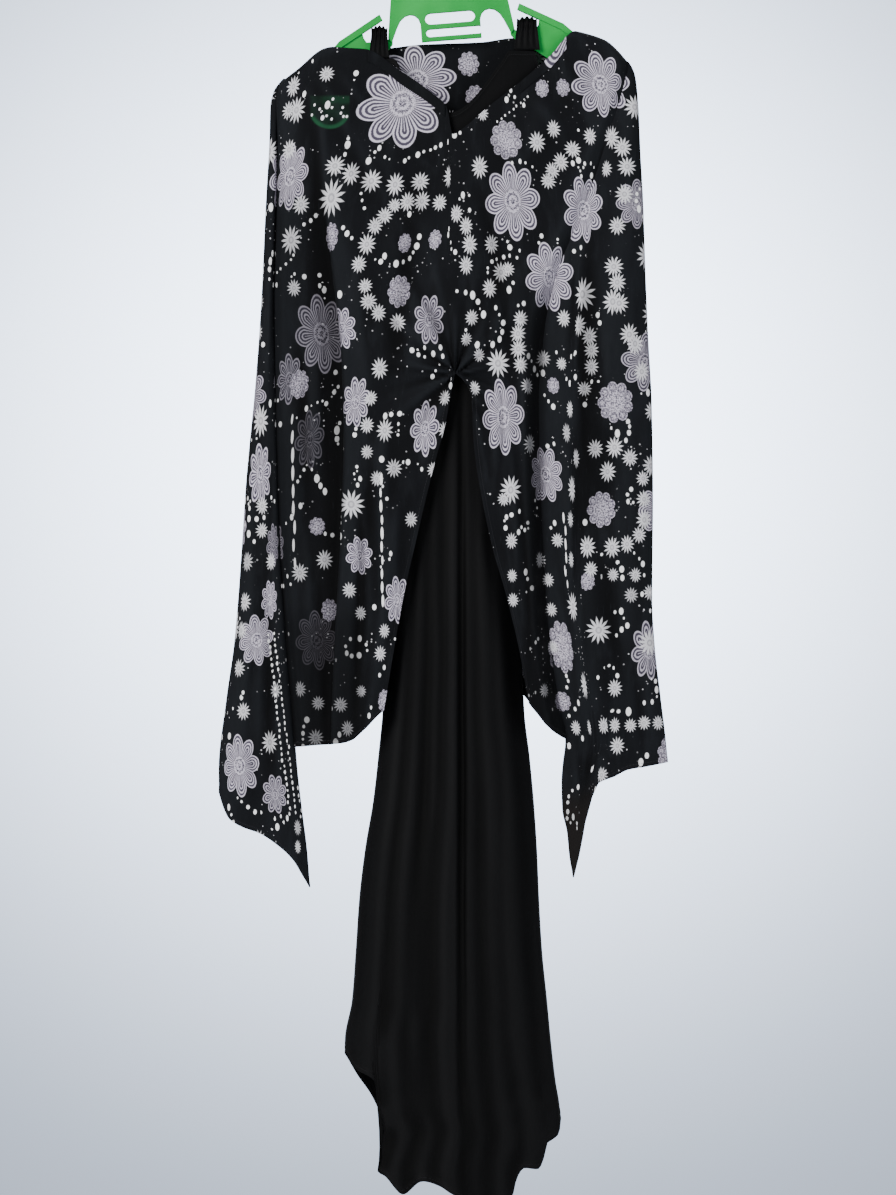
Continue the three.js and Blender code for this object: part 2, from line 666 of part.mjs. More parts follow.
// A strap goes up from the front of the dress, over the hanger and down behind.
function strapSkin(strap) {
  const cloth = skin();
  const straight = strap.foot - strap.top - STRAP.halfThick;
  const route = [0, 0.5, 1, 1.2, 1.4, 1.6, 1.8, 2, 2.5, 3];
  const point = (a, b) => {
    const rib = STRAP.ribHigh * Math.cos(a * STRAP.ribs * 2 * Math.PI);
    const out = STRAP.halfThick + rib;
    const over = b > 1 && b < 2;
    const down = over ? 0 : Math.max(1 - b, b - 2);
    const wide = strap.wide * (1 + STRAP.flare * down);
    const angle = (clamp01(b - 1)) * Math.PI;
    const crown = STRAP.arch * (1 - (2 * a - 1) ** 2) * Math.sin(angle);
    const y = -Math.cos(angle) * mix(out, STRAP.footDepth, down);
    const drop = strap.top + STRAP.halfThick - Math.sin(angle) * out - crown + down * straight;
    return new THREE.Vector3(strap.x + (a - 0.5) * wide, y, -drop);
  };
  cloth.grid(steps(STRAP.ribs * 3).reverse(), route.slice().reverse(), point);
  return cloth;
}

// ---- the hanger ---------------------------------------------------------

const wasm = await Module();
wasm.setup();

function toSolid(geometry) {
  const bare = geometry.clone();
  bare.deleteAttribute('normal');
  bare.deleteAttribute('uv');
  const merged = mergeVertices(bare, 1e-4);
  const vertProperties = new Float32Array(merged.attributes.position.array);
  const triVerts = new Uint32Array(merged.index.array);
  return new wasm.Manifold(new wasm.Mesh({ numProp: 3, vertProperties, triVerts }));
}

function toGeometry(solid) {
  const { vertProperties, triVerts } = solid.getMesh();
  const geometry = new THREE.BufferGeometry();
  geometry.setAttribute('position', new THREE.BufferAttribute(vertProperties, 3));
  geometry.setIndex(new THREE.BufferAttribute(triVerts, 1));
  return geometry;
}

// A flat plate drawn as x and drop, standing in the plane of the hanger.
function plate(shape, thick) {
  const geometry = new THREE.ExtrudeGeometry(shape, {
    depth: thick, bevelEnabled: false, curveSegments: 6,
  });
  geometry.translate(0, 0, -thick / 2);
  geometry.rotateX(Math.PI / 2);
  return toSolid(geometry);
}

const outline = (points) => new THREE.Shape(points.map(([x, drop]) => new THREE.Vector2(x, -drop)));

function slot(left, right, top, bottom) {
  const radius = (bottom - top) / 2;
  const shape = new THREE.Shape();
  shape.absarc(right - radius, -top - radius, radius, -Math.PI / 2, Math.PI / 2, false);
  shape.absarc(left + radius, -top - radius, radius, Math.PI / 2, Math.PI * 1.5, false);
  return plate(shape, CREST.thick * 2);
}

function crest() {
  const { half, shoulder, top, bottom } = CREST;
  const shape = new THREE.Shape();
  shape.moveTo(-9, -HOOK.stem);
  shape.lineTo(9, -HOOK.stem);
  shape.bezierCurveTo(16, 8 - top, shoulder - 9, 6 - top, shoulder, -top - 14);
  shape.lineTo(half, 8 - bottom);
  shape.lineTo(half - 5, -bottom);
  shape.lineTo(5 - half, -bottom);
  shape.lineTo(-half, 8 - bottom);
  shape.lineTo(-shoulder, -top - 14);
  shape.bezierCurveTo(9 - shoulder, 6 - top, -16, 8 - top, -9, -HOOK.stem);
  return plate(shape, CREST.thick);
}

// The space between a leg of the crest and its middle block.
function arch(side) {
  const inner = side * 36;
  const outer = side * (CREST.half - 3);
  const shape = new THREE.Shape();
  shape.moveTo(inner, -CREST.bottom - 10);
  shape.lineTo(inner, -CREST.bottom + 22);
  shape.bezierCurveTo(
    inner + side * 2, -CREST.bottom + 38,
    outer - side * 16, -CREST.bottom + 38,
    outer - side * 9, -CREST.bottom + 20,
  );
  shape.lineTo(outer, -CREST.bottom);
  shape.lineTo(outer, -CREST.bottom - 10);
  return plate(shape, CREST.thick * 2);
}

// The top edge of an arm, from its free tip beside the crest outwards.
const ARM_TOP = [
  { x: 84, drop: 125 },
  { x: 135, drop: 153.5 },
  { x: 150, drop: 168.5 },
  { x: 160, drop: 175 },
  { x: 178, drop: 181.5 },
  { x: 191, drop: 191.5 },
];

function arm(side) {
  const at = (x, drop) => [side * x, drop];
  const upper = ARM_TOP.map(({ x, drop }) => at(x, drop));
  const lower = ARM_TOP.map(({ x, drop }) => at(x - 3, drop + ARM.rib)).reverse();
  const end = ARM_TOP[ARM_TOP.length - 1];
  const tip = at(end.x + 1, end.drop + 6);
  const bar = outline([...upper, tip, ...lower]);
  const { half, bottom } = CREST;
  const under = ARM_TOP.slice(1).map(({ x, drop }) => at(x - 2, drop + 2));
  const sheet = outline([
    at(half - 6, bottom - 12), at(half + 2, bottom - 5), at(102, bottom - 5),
    at(105, bottom - 10), at(107, 141), ...under, at(end.x - 4, end.drop + 5),
    at(168, 205), at(150, 224), at(128, 205), at(98, 182), at(half, bottom + 6), at(half - 5, bottom),
  ]);
  return plate(bar, ARM.ribThick).add(plate(sheet, ARM.web)).add(loop(side));
}

// A small accessory loop under each arm.
function loop(side) {
  const middle = { x: side * 148, drop: 236 };
  const ring = (wide, tall) => {
    const shape = new THREE.Shape();
    shape.absellipse(middle.x, -middle.drop, wide, tall, 0, 2 * Math.PI, false, 0);
    return shape;
  };
  return plate(ring(23, 17), 5).subtract(plate(ring(16, 10), 9));
}

function hook() {
  const radius = HOOK.inside + HOOK.rod;
  const centre = -HOOK.inside;
  const lean = (TILT.drop - HOOK.stem) * TILT.angle;
  const turn = (half) => new THREE.Vector3(
    radius * Math.cos(half * Math.PI), 0, centre + radius * Math.sin(half * Math.PI),
  );
  const path = new THREE.CatmullRomCurve3([
    new THREE.Vector3(-lean, 0, -HOOK.stem - 12),
    new THREE.Vector3(-lean, 0, -HOOK.stem + 4),
    new THREE.Vector3(5, 0, centre - radius - 5),
    ...[-0.22, 0, 0.25, 0.5, 0.75, 1, 1 + HOOK.tipTurn / 2, 1 + HOOK.tipTurn].map(turn),
  ]);
  const section = new THREE.Shape();
  section.absarc(0, 0, HOOK.rod, 0, 2 * Math.PI, false);
  return toSolid(new THREE.ExtrudeGeometry(section, {
    steps: 26, curveSegments: 5, extrudePath: path,
  }));
}

function hangerGeometry() {
  const slots = slot(-30, 30, 128.5, 142).add(slot(-30, 38, 147.5, 157));
  const body = crest()
    .subtract(arch(-1))
    .subtract(arch(1))
    .subtract(slots)
    .add(arm(-1))
    .add(arm(1));
  const leaning = toGeometry(body);
  leaning.translate(0, 0, TILT.drop);
  leaning.rotateY(-TILT.angle);
  leaning.translate(0, 0, -TILT.drop);
  return toGeometry(toSolid(leaning).add(hook()));
}

// ---- the whole ----------------------------------------------------------

const finish = (color, roughness) => new THREE.MeshStandardMaterial({
  color, roughness, metalness: 0,
});

const group = new THREE.Group();

function addPiece(name, geometry, material) {
  const mesh = new THREE.Mesh(geometry, material);
  mesh.name = name;
  group.add(mesh);
}

const printed = () => finish('#1b1d21', 0.85);
const plain = () => finish('#131416', 0.8);

addPiece('front', thicken(frontSkin(), CLOTH), printed());
addPiece('back', thicken(backSkin(), CLOTH), printed());
addPiece('sleeve_left', thicken(sleeveSkin('left', 20), CLOTH), printed());
addPiece('sleeve_right', thicken(sleeveSkin('right', 26), CLOTH), printed());
addPiece('neck_band_left', thicken(bandSkin('left', -100, -7, 8), CLOTH), plain());
addPiece('neck_band_right', thicken(bandSkin('right', 84, 138, 6), CLOTH), printed());
addPiece('dress_front', thicken(dressSkin(-1, 34), CLOTH), plain());
addPiece('dress_back', thicken(dressSkin(1, 26), CLOTH), plain());
STRAPS.forEach((strap) => addPiece(strap.name, thicken(strapSkin(strap), CLOTH), plain()));
addPiece('hanger', hangerGeometry(), finish('#3fbd6c', 0.45));

export default group;
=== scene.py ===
"""The looks of a butterfly kaftan on a plastic hanger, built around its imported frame.

Lengths in the tables and functions are millimetres and turn to metres where a
mesh is made. A "drop" is a distance below the hook's inside top, so z = -drop,
and a "depth" is a distance from the hanger's plane, forward on front pieces
and backward on back ones. The front faces -Y.
"""
import math

import bmesh
import bpy
import numpy as np
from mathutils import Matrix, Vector


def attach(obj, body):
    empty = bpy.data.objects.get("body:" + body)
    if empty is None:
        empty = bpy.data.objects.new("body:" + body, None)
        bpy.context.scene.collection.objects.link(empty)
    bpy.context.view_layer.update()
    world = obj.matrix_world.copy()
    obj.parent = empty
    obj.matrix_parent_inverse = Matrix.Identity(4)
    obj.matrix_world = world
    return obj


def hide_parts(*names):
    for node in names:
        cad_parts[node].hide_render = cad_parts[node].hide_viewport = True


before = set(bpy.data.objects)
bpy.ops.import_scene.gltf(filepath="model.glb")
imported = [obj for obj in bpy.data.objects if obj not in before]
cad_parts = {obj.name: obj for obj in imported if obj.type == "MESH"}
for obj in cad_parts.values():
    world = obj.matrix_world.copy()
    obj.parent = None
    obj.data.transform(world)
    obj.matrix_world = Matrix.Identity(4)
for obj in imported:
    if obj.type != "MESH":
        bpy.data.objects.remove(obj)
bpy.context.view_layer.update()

MM = 0.001

# ---- driving dimensions, as the frame has them ----------------------------

CLOTH = 0.7                 # wall of the cloth as it shows
GATHER_X, GATHER_DROP = 5, 564
SHOULDER_ROLL = 12
SHOULDER_SEAM = 0.3
SHOULDER_LEFT, SHOULDER_RIGHT = -147, 150
SHOULDER_DROP, HEM_DROP = 200, 990
TUCK = 2.5                  # how far a panel runs in behind a sleeve's fold
LEVEL_LEFT, LEVEL_RIGHT = (232, 285), (330, 500)
BAND_WIDTH = 15
SAG = 3
FOLD_TURN, FOLD_LEAN = 9, 13
SKIRT_TROUGH = 8
SKIRT_WIDER, SKIRT_SOFTER = 1.4, 0.62   # the cloth bridges the frame's folds a little
HEM_WIDTH = 6.5             # turned and stitched edge
HEM_SWELL = 0.45            # how much thicker the cloth is there, each side
STITCH_IN = 1.6             # how far inside the turned edge's end its stitches run
NO_EDGE = 1e3               # the distance that says no turned edge is near
SIDE_SEAM = 0.2             # the dress's front and back overlap by this much each along their sides
CELL = 3.4                  # about the size of a mesh cell
PRINT_EASE = 13             # rows over which the print's stretch across folds is evened out
FOLD_REACH, FOLD_DEEP = 6, 1.5   # columns and depth by which a hollow counts as one
WELD = 0.00012              # points this close are one, in metres
HANGER_ROUND = 0.9          # rounding of the hanger's edges


def table(columns, rows):
    """Named columns of a short table."""
    return dict(zip(columns.split(), np.array(rows, float).T))


SLEEVE_LEFT = table("drop outer inner plane half", [
    (208.5, -201, -199, 0, 0.8), (214, -206, -201.5, 0, 3), (224, -212.5, -204, 0, 6),
    (242, -216.5, -206, 0, 9.5), (281, -217.5, -208, -1, 12), (354, -221.5, -209, -3, 14),
    (474, -227, -212, -6, 15), (574, -234, -210.5, -8, 15), (690, -245, -207, -10, 15),
    (774, -250.5, -203.5, -11, 15), (882, -259, -196.5, -12, 15), (954, -269, -190.5, -12, 14),
    (1038, -278, -184, -12, 12), (1090, -277, -178, -12, 10), (1134, -277, -172.5, -12, 8),
    (1180, -277, -169, -12, 5),
])
SLEEVE_RIGHT = table("drop outer inner plane half", [
    (188, 212.5, 209.5, 0, 0.8), (194, 216.5, 209, 0, 3), (205, 220.7, 206, 0, 6.5),
    (222, 223, 201, 0, 10), (250, 225, 191, -1, 14), (298, 227, 172, -3, 17), (354, 230, 150, -6, 19),
    (450, 233, 122, -12, 20), (522, 236, 109, -15, 20), (600, 240, 103, -17, 20),
    (714, 241.5, 106, -18, 19), (834, 240.5, 112, -18, 18), (894, 244, 118, -18, 17),
    (954, 251, 127, -18, 15), (1004, 257, 137, -17, 12), (1030, 259, 134, -16, 11),
    (1052, 257, 132.5, -16, 10), (1085, 232, 133.5, -15, 8), (1111, 213, 139, -15, 7),
    (1141, 196, 142, -15, 5), (1168, 166, 147, -15, 3),
])
CUFF_LEFT = table("across drop", [
    (0, 1064), (0.05, 1082), (0.12, 1096), (0.28, 1106), (0.47, 1113), (0.7, 1130), (0.84, 1146),
    (0.93, 1164), (1, 1178),
])
CUFF_RIGHT = table("across drop", [
    (0, 1028), (0.2, 1033), (0.38, 1037), (0.5, 1045), (0.66, 1054), (0.71, 1098), (0.8, 1143),
    (0.9, 1160), (1, 1166),
])
FRONT_TOP = table("x drop", [
    (-201.5, 211), (-186, 199), (-147, 171.5), (-124, 173), (-102, 174.5), (-61, 200), (-18, 231),
    (-5, 244), (2, 277), (17, 268), (41, 247), (85, 212), (118, 183), (150, 152), (164, 155),
    (186, 163), (200, 175), (212, 189),
])
BACK_TOP = table("x drop", [
    (-201.5, 211), (-186, 199), (-147, 171.5), (-102, 173.5), (-72, 170), (-37, 166), (37, 163),
    (76, 158), (104, 158), (150, 152), (164, 155), (186, 163), (200, 175), (212, 189),
])
OPENING = table("drop left right", [
    (564, 5, 5), (572, 3, 15), (594, -1, 25), (630, -8, 26), (666, -18, 29), (714, -30, 37),
    (774, -44, 50), (822, -55, 64), (888, -67, 80), (954, -78, 92), (1010, -88, 104),
])
FRONT_HEM = table("x drop", [
    (-190, 1010), (-157, 1007), (-130, 1005), (-117, 1001), (-104, 989), (-80, 964), (90, 948),
    (107, 969), (115, 983), (131, 997), (142, 1003),
])
BACK_HEM = table("x drop", [
    (-190, 1008), (-120, 1000), (-100, 984), (-84, 960), (0, 942), (90, 944), (107, 965), (131, 994),
    (142, 1000),
])
FRONT_DEPTH = table("drop depth back", [
    (150, 13.5, 13.5), (200, 16, 17), (277, 23, 22), (354, 32, 27), (474, 39, 33), (564, 42, 36),
    (714, 45, 38), (1010, 48, 40),
])
LEFT_FOLD = table("drop x recess", [
    (230, -160, 0), (294, -155, 2), (360, -151, 7), (450, -140, 15), (540, -130, 19), (640, -127, 18),
    (760, -131, 15), (900, -139, 13), (1010, -143, 12),
])
FRONT_FOLDS = table("fromX fromDrop toX toDrop wide high", [
    (-167, 500, -158, 690, 9, 5), (-190, 600, -182, 760, 8, 4), (-84, 620, -78, 830, 9, 5),
    (-104, 700, -112, 1000, 9, -6), (-62, 690, -92, 960, 8, 4), (56, 560, 84, 900, 10, 4),
    (40, 330, 86, 640, 12, -4), (-40, 330, -74, 600, 14, -3), (-120, 250, -30, 420, 16, 3),
    (120, 230, 40, 400, 16, 3),
])
SLEEVE_FOLDS = table("fromX fromDrop toX toDrop wide high", [
    (136, 640, 141, 800, 8, 5), (168, 380, 158, 700, 12, -4), (200, 300, 208, 900, 12, 3),
    (182, 760, 196, 1020, 12, -3), (-243, 700, -252, 1080, 9, 2.5), (-222, 760, -216, 1100, 9, -3),
])
BACK_FOLDS = table("fromX fromDrop toX toDrop wide high", [
    (-150, 240, -120, 1000, 14, 6), (-100, 420, -78, 1000, 12, -6), (-40, 240, -30, 1000, 16, 6),
    (15, 380, 12, 1000, 12, -6), (62, 240, 55, 1000, 15, 6), (120, 240, 96, 1000, 13, -5),
])
DRESS = table("drop left right half", [
    (172, -104, 109, 11), (220, -112, 116, 12), (300, -118, 120, 14), (420, -100, 100, 19),
    (564, -82, 82, 24), (714, -74, 80, 27), (880, -76, 84, 29), (971, -82, 88, 30), (1021, -87, 94, 31),
    (1074, -93, 99, 32), (1134, -103, 103, 33), (1194, -110, 105.5, 34), (1254, -114, 109, 35),
    (1314, -118.5, 115, 36), (1362, -127, 119.5, 37), (1410, -127, 125, 37), (1441, -127, 130, 38),
    (1470, -118, 132, 38), (1500, -126, 130, 38), (1516, -130, 129, 38), (1556, -122, 128, 38),
])
DRESS_TOP = table("x drop", [
    (-120, 262), (-106, 214), (-100, 185.5), (-74, 185.5), (-60, 203), (-1, 250), (66, 186),
    (75, 175.5), (107, 175.5), (111, 206), (122, 256),
])
DRESS_HEM = table("across front back", [
    (0, 1372, 1378), (0.05, 1394, 1402), (0.14, 1408, 1440), (0.163, 1516, 1466), (0.2, 1522, 1484),
    (0.266, 1543, 1504), (0.37, 1527, 1525), (0.45, 1533, 1534), (0.5, 1542, 1538), (0.62, 1554, 1544),
    (0.76, 1552, 1540), (0.79, 1540, 1528), (0.805, 1524, 1518), (0.84, 1512, 1506), (0.9, 1514, 1496),
    (0.922, 1506, 1486), (0.932, 1484, 1474), (0.955, 1480, 1468), (0.985, 1474, 1458), (1, 1456, 1450),
])
SKIRT_FOLDS = table("top hem wide high", [
    (0.13, 0.1, 0.05, 13), (0.25, 0.24, 0.045, 15), (0.36, 0.37, 0.05, 17), (0.49, 0.49, 0.045, 21),
    (0.61, 0.61, 0.05, 16), (0.71, 0.73, 0.045, 15), (0.83, 0.86, 0.05, 13),
])

# Finer creases, each a ridge (or, with high below 0, a trough) from one place
# to another. It bows sideways by "bow" and fades out at both ends.
CREASE = "fromX fromDrop toX toDrop wide high bow"
FRONT_CREASES = table(CREASE, [
    (-176, 214, -150, 318, 5, 1.6, 6), (-164, 205, -118, 300, 6, 1.8, 8), (-140, 196, -98, 262, 5, 1.2, 5),
    (-152, 236, -139, 420, 4, 1.8, -5), (-120, 262, -60, 372, 7, 1.6, -8), (-92, 300, -22, 420, 7, -1.5, -9),
    (-70, 262, -8, 330, 5, 1.2, -5), (-132, 430, -122, 640, 4, 2.2, 3), (-114, 420, -96, 600, 5, 1.6, -4),
    (-84, 470, -40, 556, 6, 1.7, 8), (-60, 430, -14, 540, 5, -1.4, 7), (-34, 400, -6, 530, 4, 1.3, 5),
    (-112, 660, -100, 860, 5, 2.2, 4), (-92, 650, -80, 760, 4, 1.8, 3), (-122, 720, -128, 940, 5, -2.2, -4),
    (-66, 720, -74, 880, 4, 1.5, 3), (-96, 840, -108, 990, 5, 2, -3), (-170, 560, -163, 700, 4, 2.2, 3),
    (-182, 520, -176, 660, 4, -1.6, 2), (-190, 668, -184, 760, 3.5, 1.8, 2), (-176, 740, -170, 940, 5, 2, 4),
    (-158, 800, -152, 1000, 5, -2, 3), (-186, 840, -180, 1000, 4, 1.5, -2),
    (-144, 880, -140, 1004, 4, 1.6, 2),
    (24, 300, 60, 420, 6, 1.3, 6), (48, 262, 96, 352, 7, 1.5, 8), (92, 230, 140, 300, 6, 1.4, 6),
    (132, 190, 168, 262, 6, 1.4, -5), (168, 180, 196, 240, 5, 1.3, -4), (36, 420, 20, 540, 5, 1.4, -4),
    (60, 440, 42, 560, 5, -1.4, -5), (58, 570, 60, 676, 3.5, -2.4, 2), (50, 590, 52, 700, 4, 1.9, 2),
    (70, 640, 78, 820, 4, 2.1, 3), (82, 700, 96, 930, 4, -1.8, 3), (88, 560, 92, 660, 5, 1.6, -2),
    (30, 590, 44, 690, 3, 1.3, -2), (60, 740, 76, 860, 3, 1.2, 3), (-20, 600, -40, 700, 3, 1.2, 2),
])
SLEEVE_CREASES = table(CREASE, [
    (128, 380, 118, 520, 5, 2.0, 4), (146, 400, 140, 560, 5, -1.8, 4), (118, 640, 121, 720, 3.5, 2.2, 1),
    (138, 716, 142, 830, 4, 2.4, 2), (152, 560, 160, 700, 5, 1.7, -4), (176, 420, 186, 640, 6, 1.6, 6),
    (206, 260, 214, 430, 4, 1.4, 3), (216, 440, 222, 620, 4, 1.5, -3), (196, 640, 210, 820, 5, -1.6, 4),
    (226, 620, 228, 800, 4, 1.5, 3), (152, 830, 166, 980, 5, 1.9, -4), (178, 860, 200, 1010, 5, 1.6, 5),
    (214, 900, 226, 1020, 5, -1.5, 3), (232, 880, 244, 1010, 4, 1.4, -3), (128, 820, 140, 940, 4, 1.8, 3),
    (148, 1000, 150, 1130, 4, 2.0, 2), (166, 1010, 158, 1120, 4, -1.8, -2), (180, 1020, 172, 1100, 4, 1.5, 3),
    (-218, 420, -222, 600, 3, 1.5, 2), (-228, 560, -236, 760, 3.5, 1.7, -3),
    (-216, 640, -220, 820, 3.5, -1.7, 2),
    (-238, 800, -250, 960, 4, 1.8, 4), (-224, 860, -228, 1030, 4, 1.7, -3),
    (-206, 900, -200, 1080, 4, -1.6, 3),
    (-262, 940, -266, 1060, 4, 1.5, 2), (-246, 1000, -232, 1100, 4, -1.6, 4),
    (-196, 1040, -184, 1130, 4, 1.6, 2),
])
BACK_CREASES = table(CREASE, [
    (-186, 216, -150, 330, 6, 1.8, 6), (-150, 196, -96, 330, 7, 2, 8), (-108, 190, -66, 300, 7, 1.4, 6),
    (160, 178, 118, 320, 7, 2, -8), (196, 200, 160, 330, 6, 1.8, -6), (96, 180, 60, 300, 7, 1.4, -5),
    (-176, 380, -168, 620, 6, 2.4, 5), (-128, 360, -120, 560, 7, -2, -6), (-86, 330, -92, 540, 7, 2.2, 7),
    (-58, 560, -50, 800, 6, 2.3, -5), (-14, 340, -20, 620, 7, 2, 6), (34, 420, 38, 700, 7, -2.2, 6),
    (84, 340, 92, 560, 7, 2.2, -7), (128, 420, 110, 640, 7, -2.2, 5), (-150, 700, -142, 960, 6, 2.2, 4),
    (-96, 760, -104, 990, 6, -2, -4), (12, 700, 4, 930, 6, 2.1, 5), (58, 720, 66, 930, 6, 2.2, -4),
    (96, 660, 92, 900, 5, -1.8, 4), (-60, 240, 50, 262, 8, 1.2, 14), (-70, 300, 64, 318, 9, 1.1, 16),
])
SKIRT_CREASES = table(CREASE, [
    (-52, 700, -92, 1500, 20, 5.0, -6), (46, 760, 74, 1500, 18, 4.5, 5), (-24, 760, -34, 1520, 12, -4.0, -3),
    (13, 580, 13, 1540, 4, -5.5, 0), (34, 640, 56, 1330, 11, 2.2, 4),
    (-84, 1000, -108, 1400, 12, 1.8, 5), (-34, 1080, -46, 1500, 10, 2.0, -4),
    (62, 1090, 88, 1500, 13, 1.8, -4),
    (5, 600, 5, 1530, 3, 1.8, 0), (96, 1180, 116, 1440, 9, 1.4, 4),
])
STRAPS = table("x wide top foot", [(-86, 19, 149, 185), (91, 24, 138, 175)])
STRAP_RIBS, STRAP_RIB_HIGH = 4, 1.1
STRAP_HALF, STRAP_FOOT, STRAP_FLARE, STRAP_ARCH = 7.4, 10.5, 0.3, 3


# ---- small helpers ---------------------------------------------------------

def mix(a, b, t):
    return a + (b - a) * t


def smooth(start, end, value):
    t = np.clip((value - start) / (end - start), 0, 1)
    return t * t * (3 - 2 * t)


def read(rows, at, key, by):
    """One column at places given in another, along a smooth curve that doesn't overshoot."""
    x, y = rows[by], rows[key]
    at = np.clip(at, x[0], x[-1])
    slope = np.diff(y) / np.diff(x)
    before, after = slope[:-1], slope[1:]
    same_way = before * after > 0
    inner = np.where(same_way, 2 * before * after / np.where(same_way, before + after, 1), 0)
    tangent = np.concatenate([slope[:1], inner, slope[-1:]])
    i = np.clip(np.searchsorted(x, at, side="right") - 1, 0, len(x) - 2)
    span, rise = x[i + 1] - x[i], y[i + 1] - y[i]
    t = (at - x[i]) / span
    a, b = tangent[i] * span - rise, rise - tangent[i + 1] * span
    return y[i] + rise * t + t * (1 - t) * (a * (1 - t) + b * t)


def fold_height(folds, x, drop):
    """All the folds of a table at a point, fading out at their ends."""
    total = np.zeros(np.broadcast(x, drop).shape)
    bows = folds.get("bow", np.zeros(len(folds["wide"])))
    columns = [folds[k] for k in "fromX fromDrop toX toDrop wide high".split()] + [bows]
    for from_x, from_drop, to_x, to_drop, wide, high, bow in zip(*columns):
        run_x, run_drop = to_x - from_x, to_drop - from_drop
        length = math.hypot(run_x, run_drop)
        along = ((x - from_x) * run_x + (drop - from_drop) * run_drop) / length ** 2
        arch = np.sin(np.pi * np.clip(along, 0, 1))
        off = ((x - from_x) * run_drop - (drop - from_drop) * run_x) / length - bow * arch
        total += high * np.exp(-(off / wide) ** 2) * arch ** 0.8
    return total


def ripples(seed, x, drop, high, waves=14, longest=90, shortest=26, stretch=2.4):
    """Small uneven waves, longer down the cloth than across it."""
    rng = np.random.default_rng(seed)
    total = np.zeros(np.broadcast(x, drop).shape)
    for _ in range(waves):
        length = rng.uniform(shortest, longest)
        turn = rng.normal(0, 0.5)
        phase = rng.uniform(0, 2 * np.pi)
        across = math.cos(turn) * x + math.sin(turn) * drop / stretch
        total += np.sin(2 * np.pi * across / length + phase + drop / (stretch * 95)) * length / longest
    return high * total / math.sqrt(waves)


def cells(length, cell=CELL, ends=()):
    """Steps from 0 to 1 along a length, closer beside the hems named in ends."""
    steps = list(np.linspace(0, 1, max(2, round(length / cell)) + 1))
    near = np.array([0.8, 1.8, 3.0, 4.4, HEM_WIDTH - 1, HEM_WIDTH, HEM_WIDTH + 1]) / length
    if "start" in ends:
        steps += list(near)
    if "end" in ends:
        steps += list(1 - near)
    steps = np.unique(np.round(steps, 6))
    keep = np.concatenate([[True], np.diff(steps) > 0.25 / length])
    keep[-1] = True
    return steps[keep]


# ---- cloth as a closed thin wall ---------------------------------------------

def arc(points, axis):
    """Distance along a grid of points in one direction, from its first row or column."""
    step = np.linalg.norm(np.diff(points, axis=axis), axis=2)
    start = np.zeros_like(np.take(step, [0], axis=axis))
    return np.concatenate([start, np.cumsum(step, axis=axis)], axis=axis)


def grid_normals(points, wrapped):
    """Unit normals of a grid of points."""
    if wrapped:
        ring = np.concatenate([points[:, -2:-1], points, points[:, 1:2]], axis=1)
        du = ring[:, 2:] - ring[:, :-2]
    else:
        du = np.gradient(points, axis=1)
    dv = np.gradient(points, axis=0)
    normal = np.cross(dv, du)
    size = np.linalg.norm(normal, axis=2, keepdims=True)
    return normal / np.maximum(size, 1e-9)


def hem_swell(reach):
    """Extra half thickness at a distance from a turned edge, with a groove at the stitches."""
    turned = 1 - smooth(HEM_WIDTH - 0.6, HEM_WIDTH + 0.5, reach)
    groove = np.exp(-((reach - HEM_WIDTH + STITCH_IN) / 0.9) ** 2)
    return HEM_SWELL * (turned - 0.7 * groove)


def smoothed_down(values):
    """Averages each column of a grid over nearby rows, so that a print isn't sheared."""
    rows = np.arange(len(values))
    weight = np.exp(-((rows[:, None] - rows[None, :]) / PRINT_EASE) ** 2)
    return weight @ values / weight.sum(axis=1, keepdims=True)


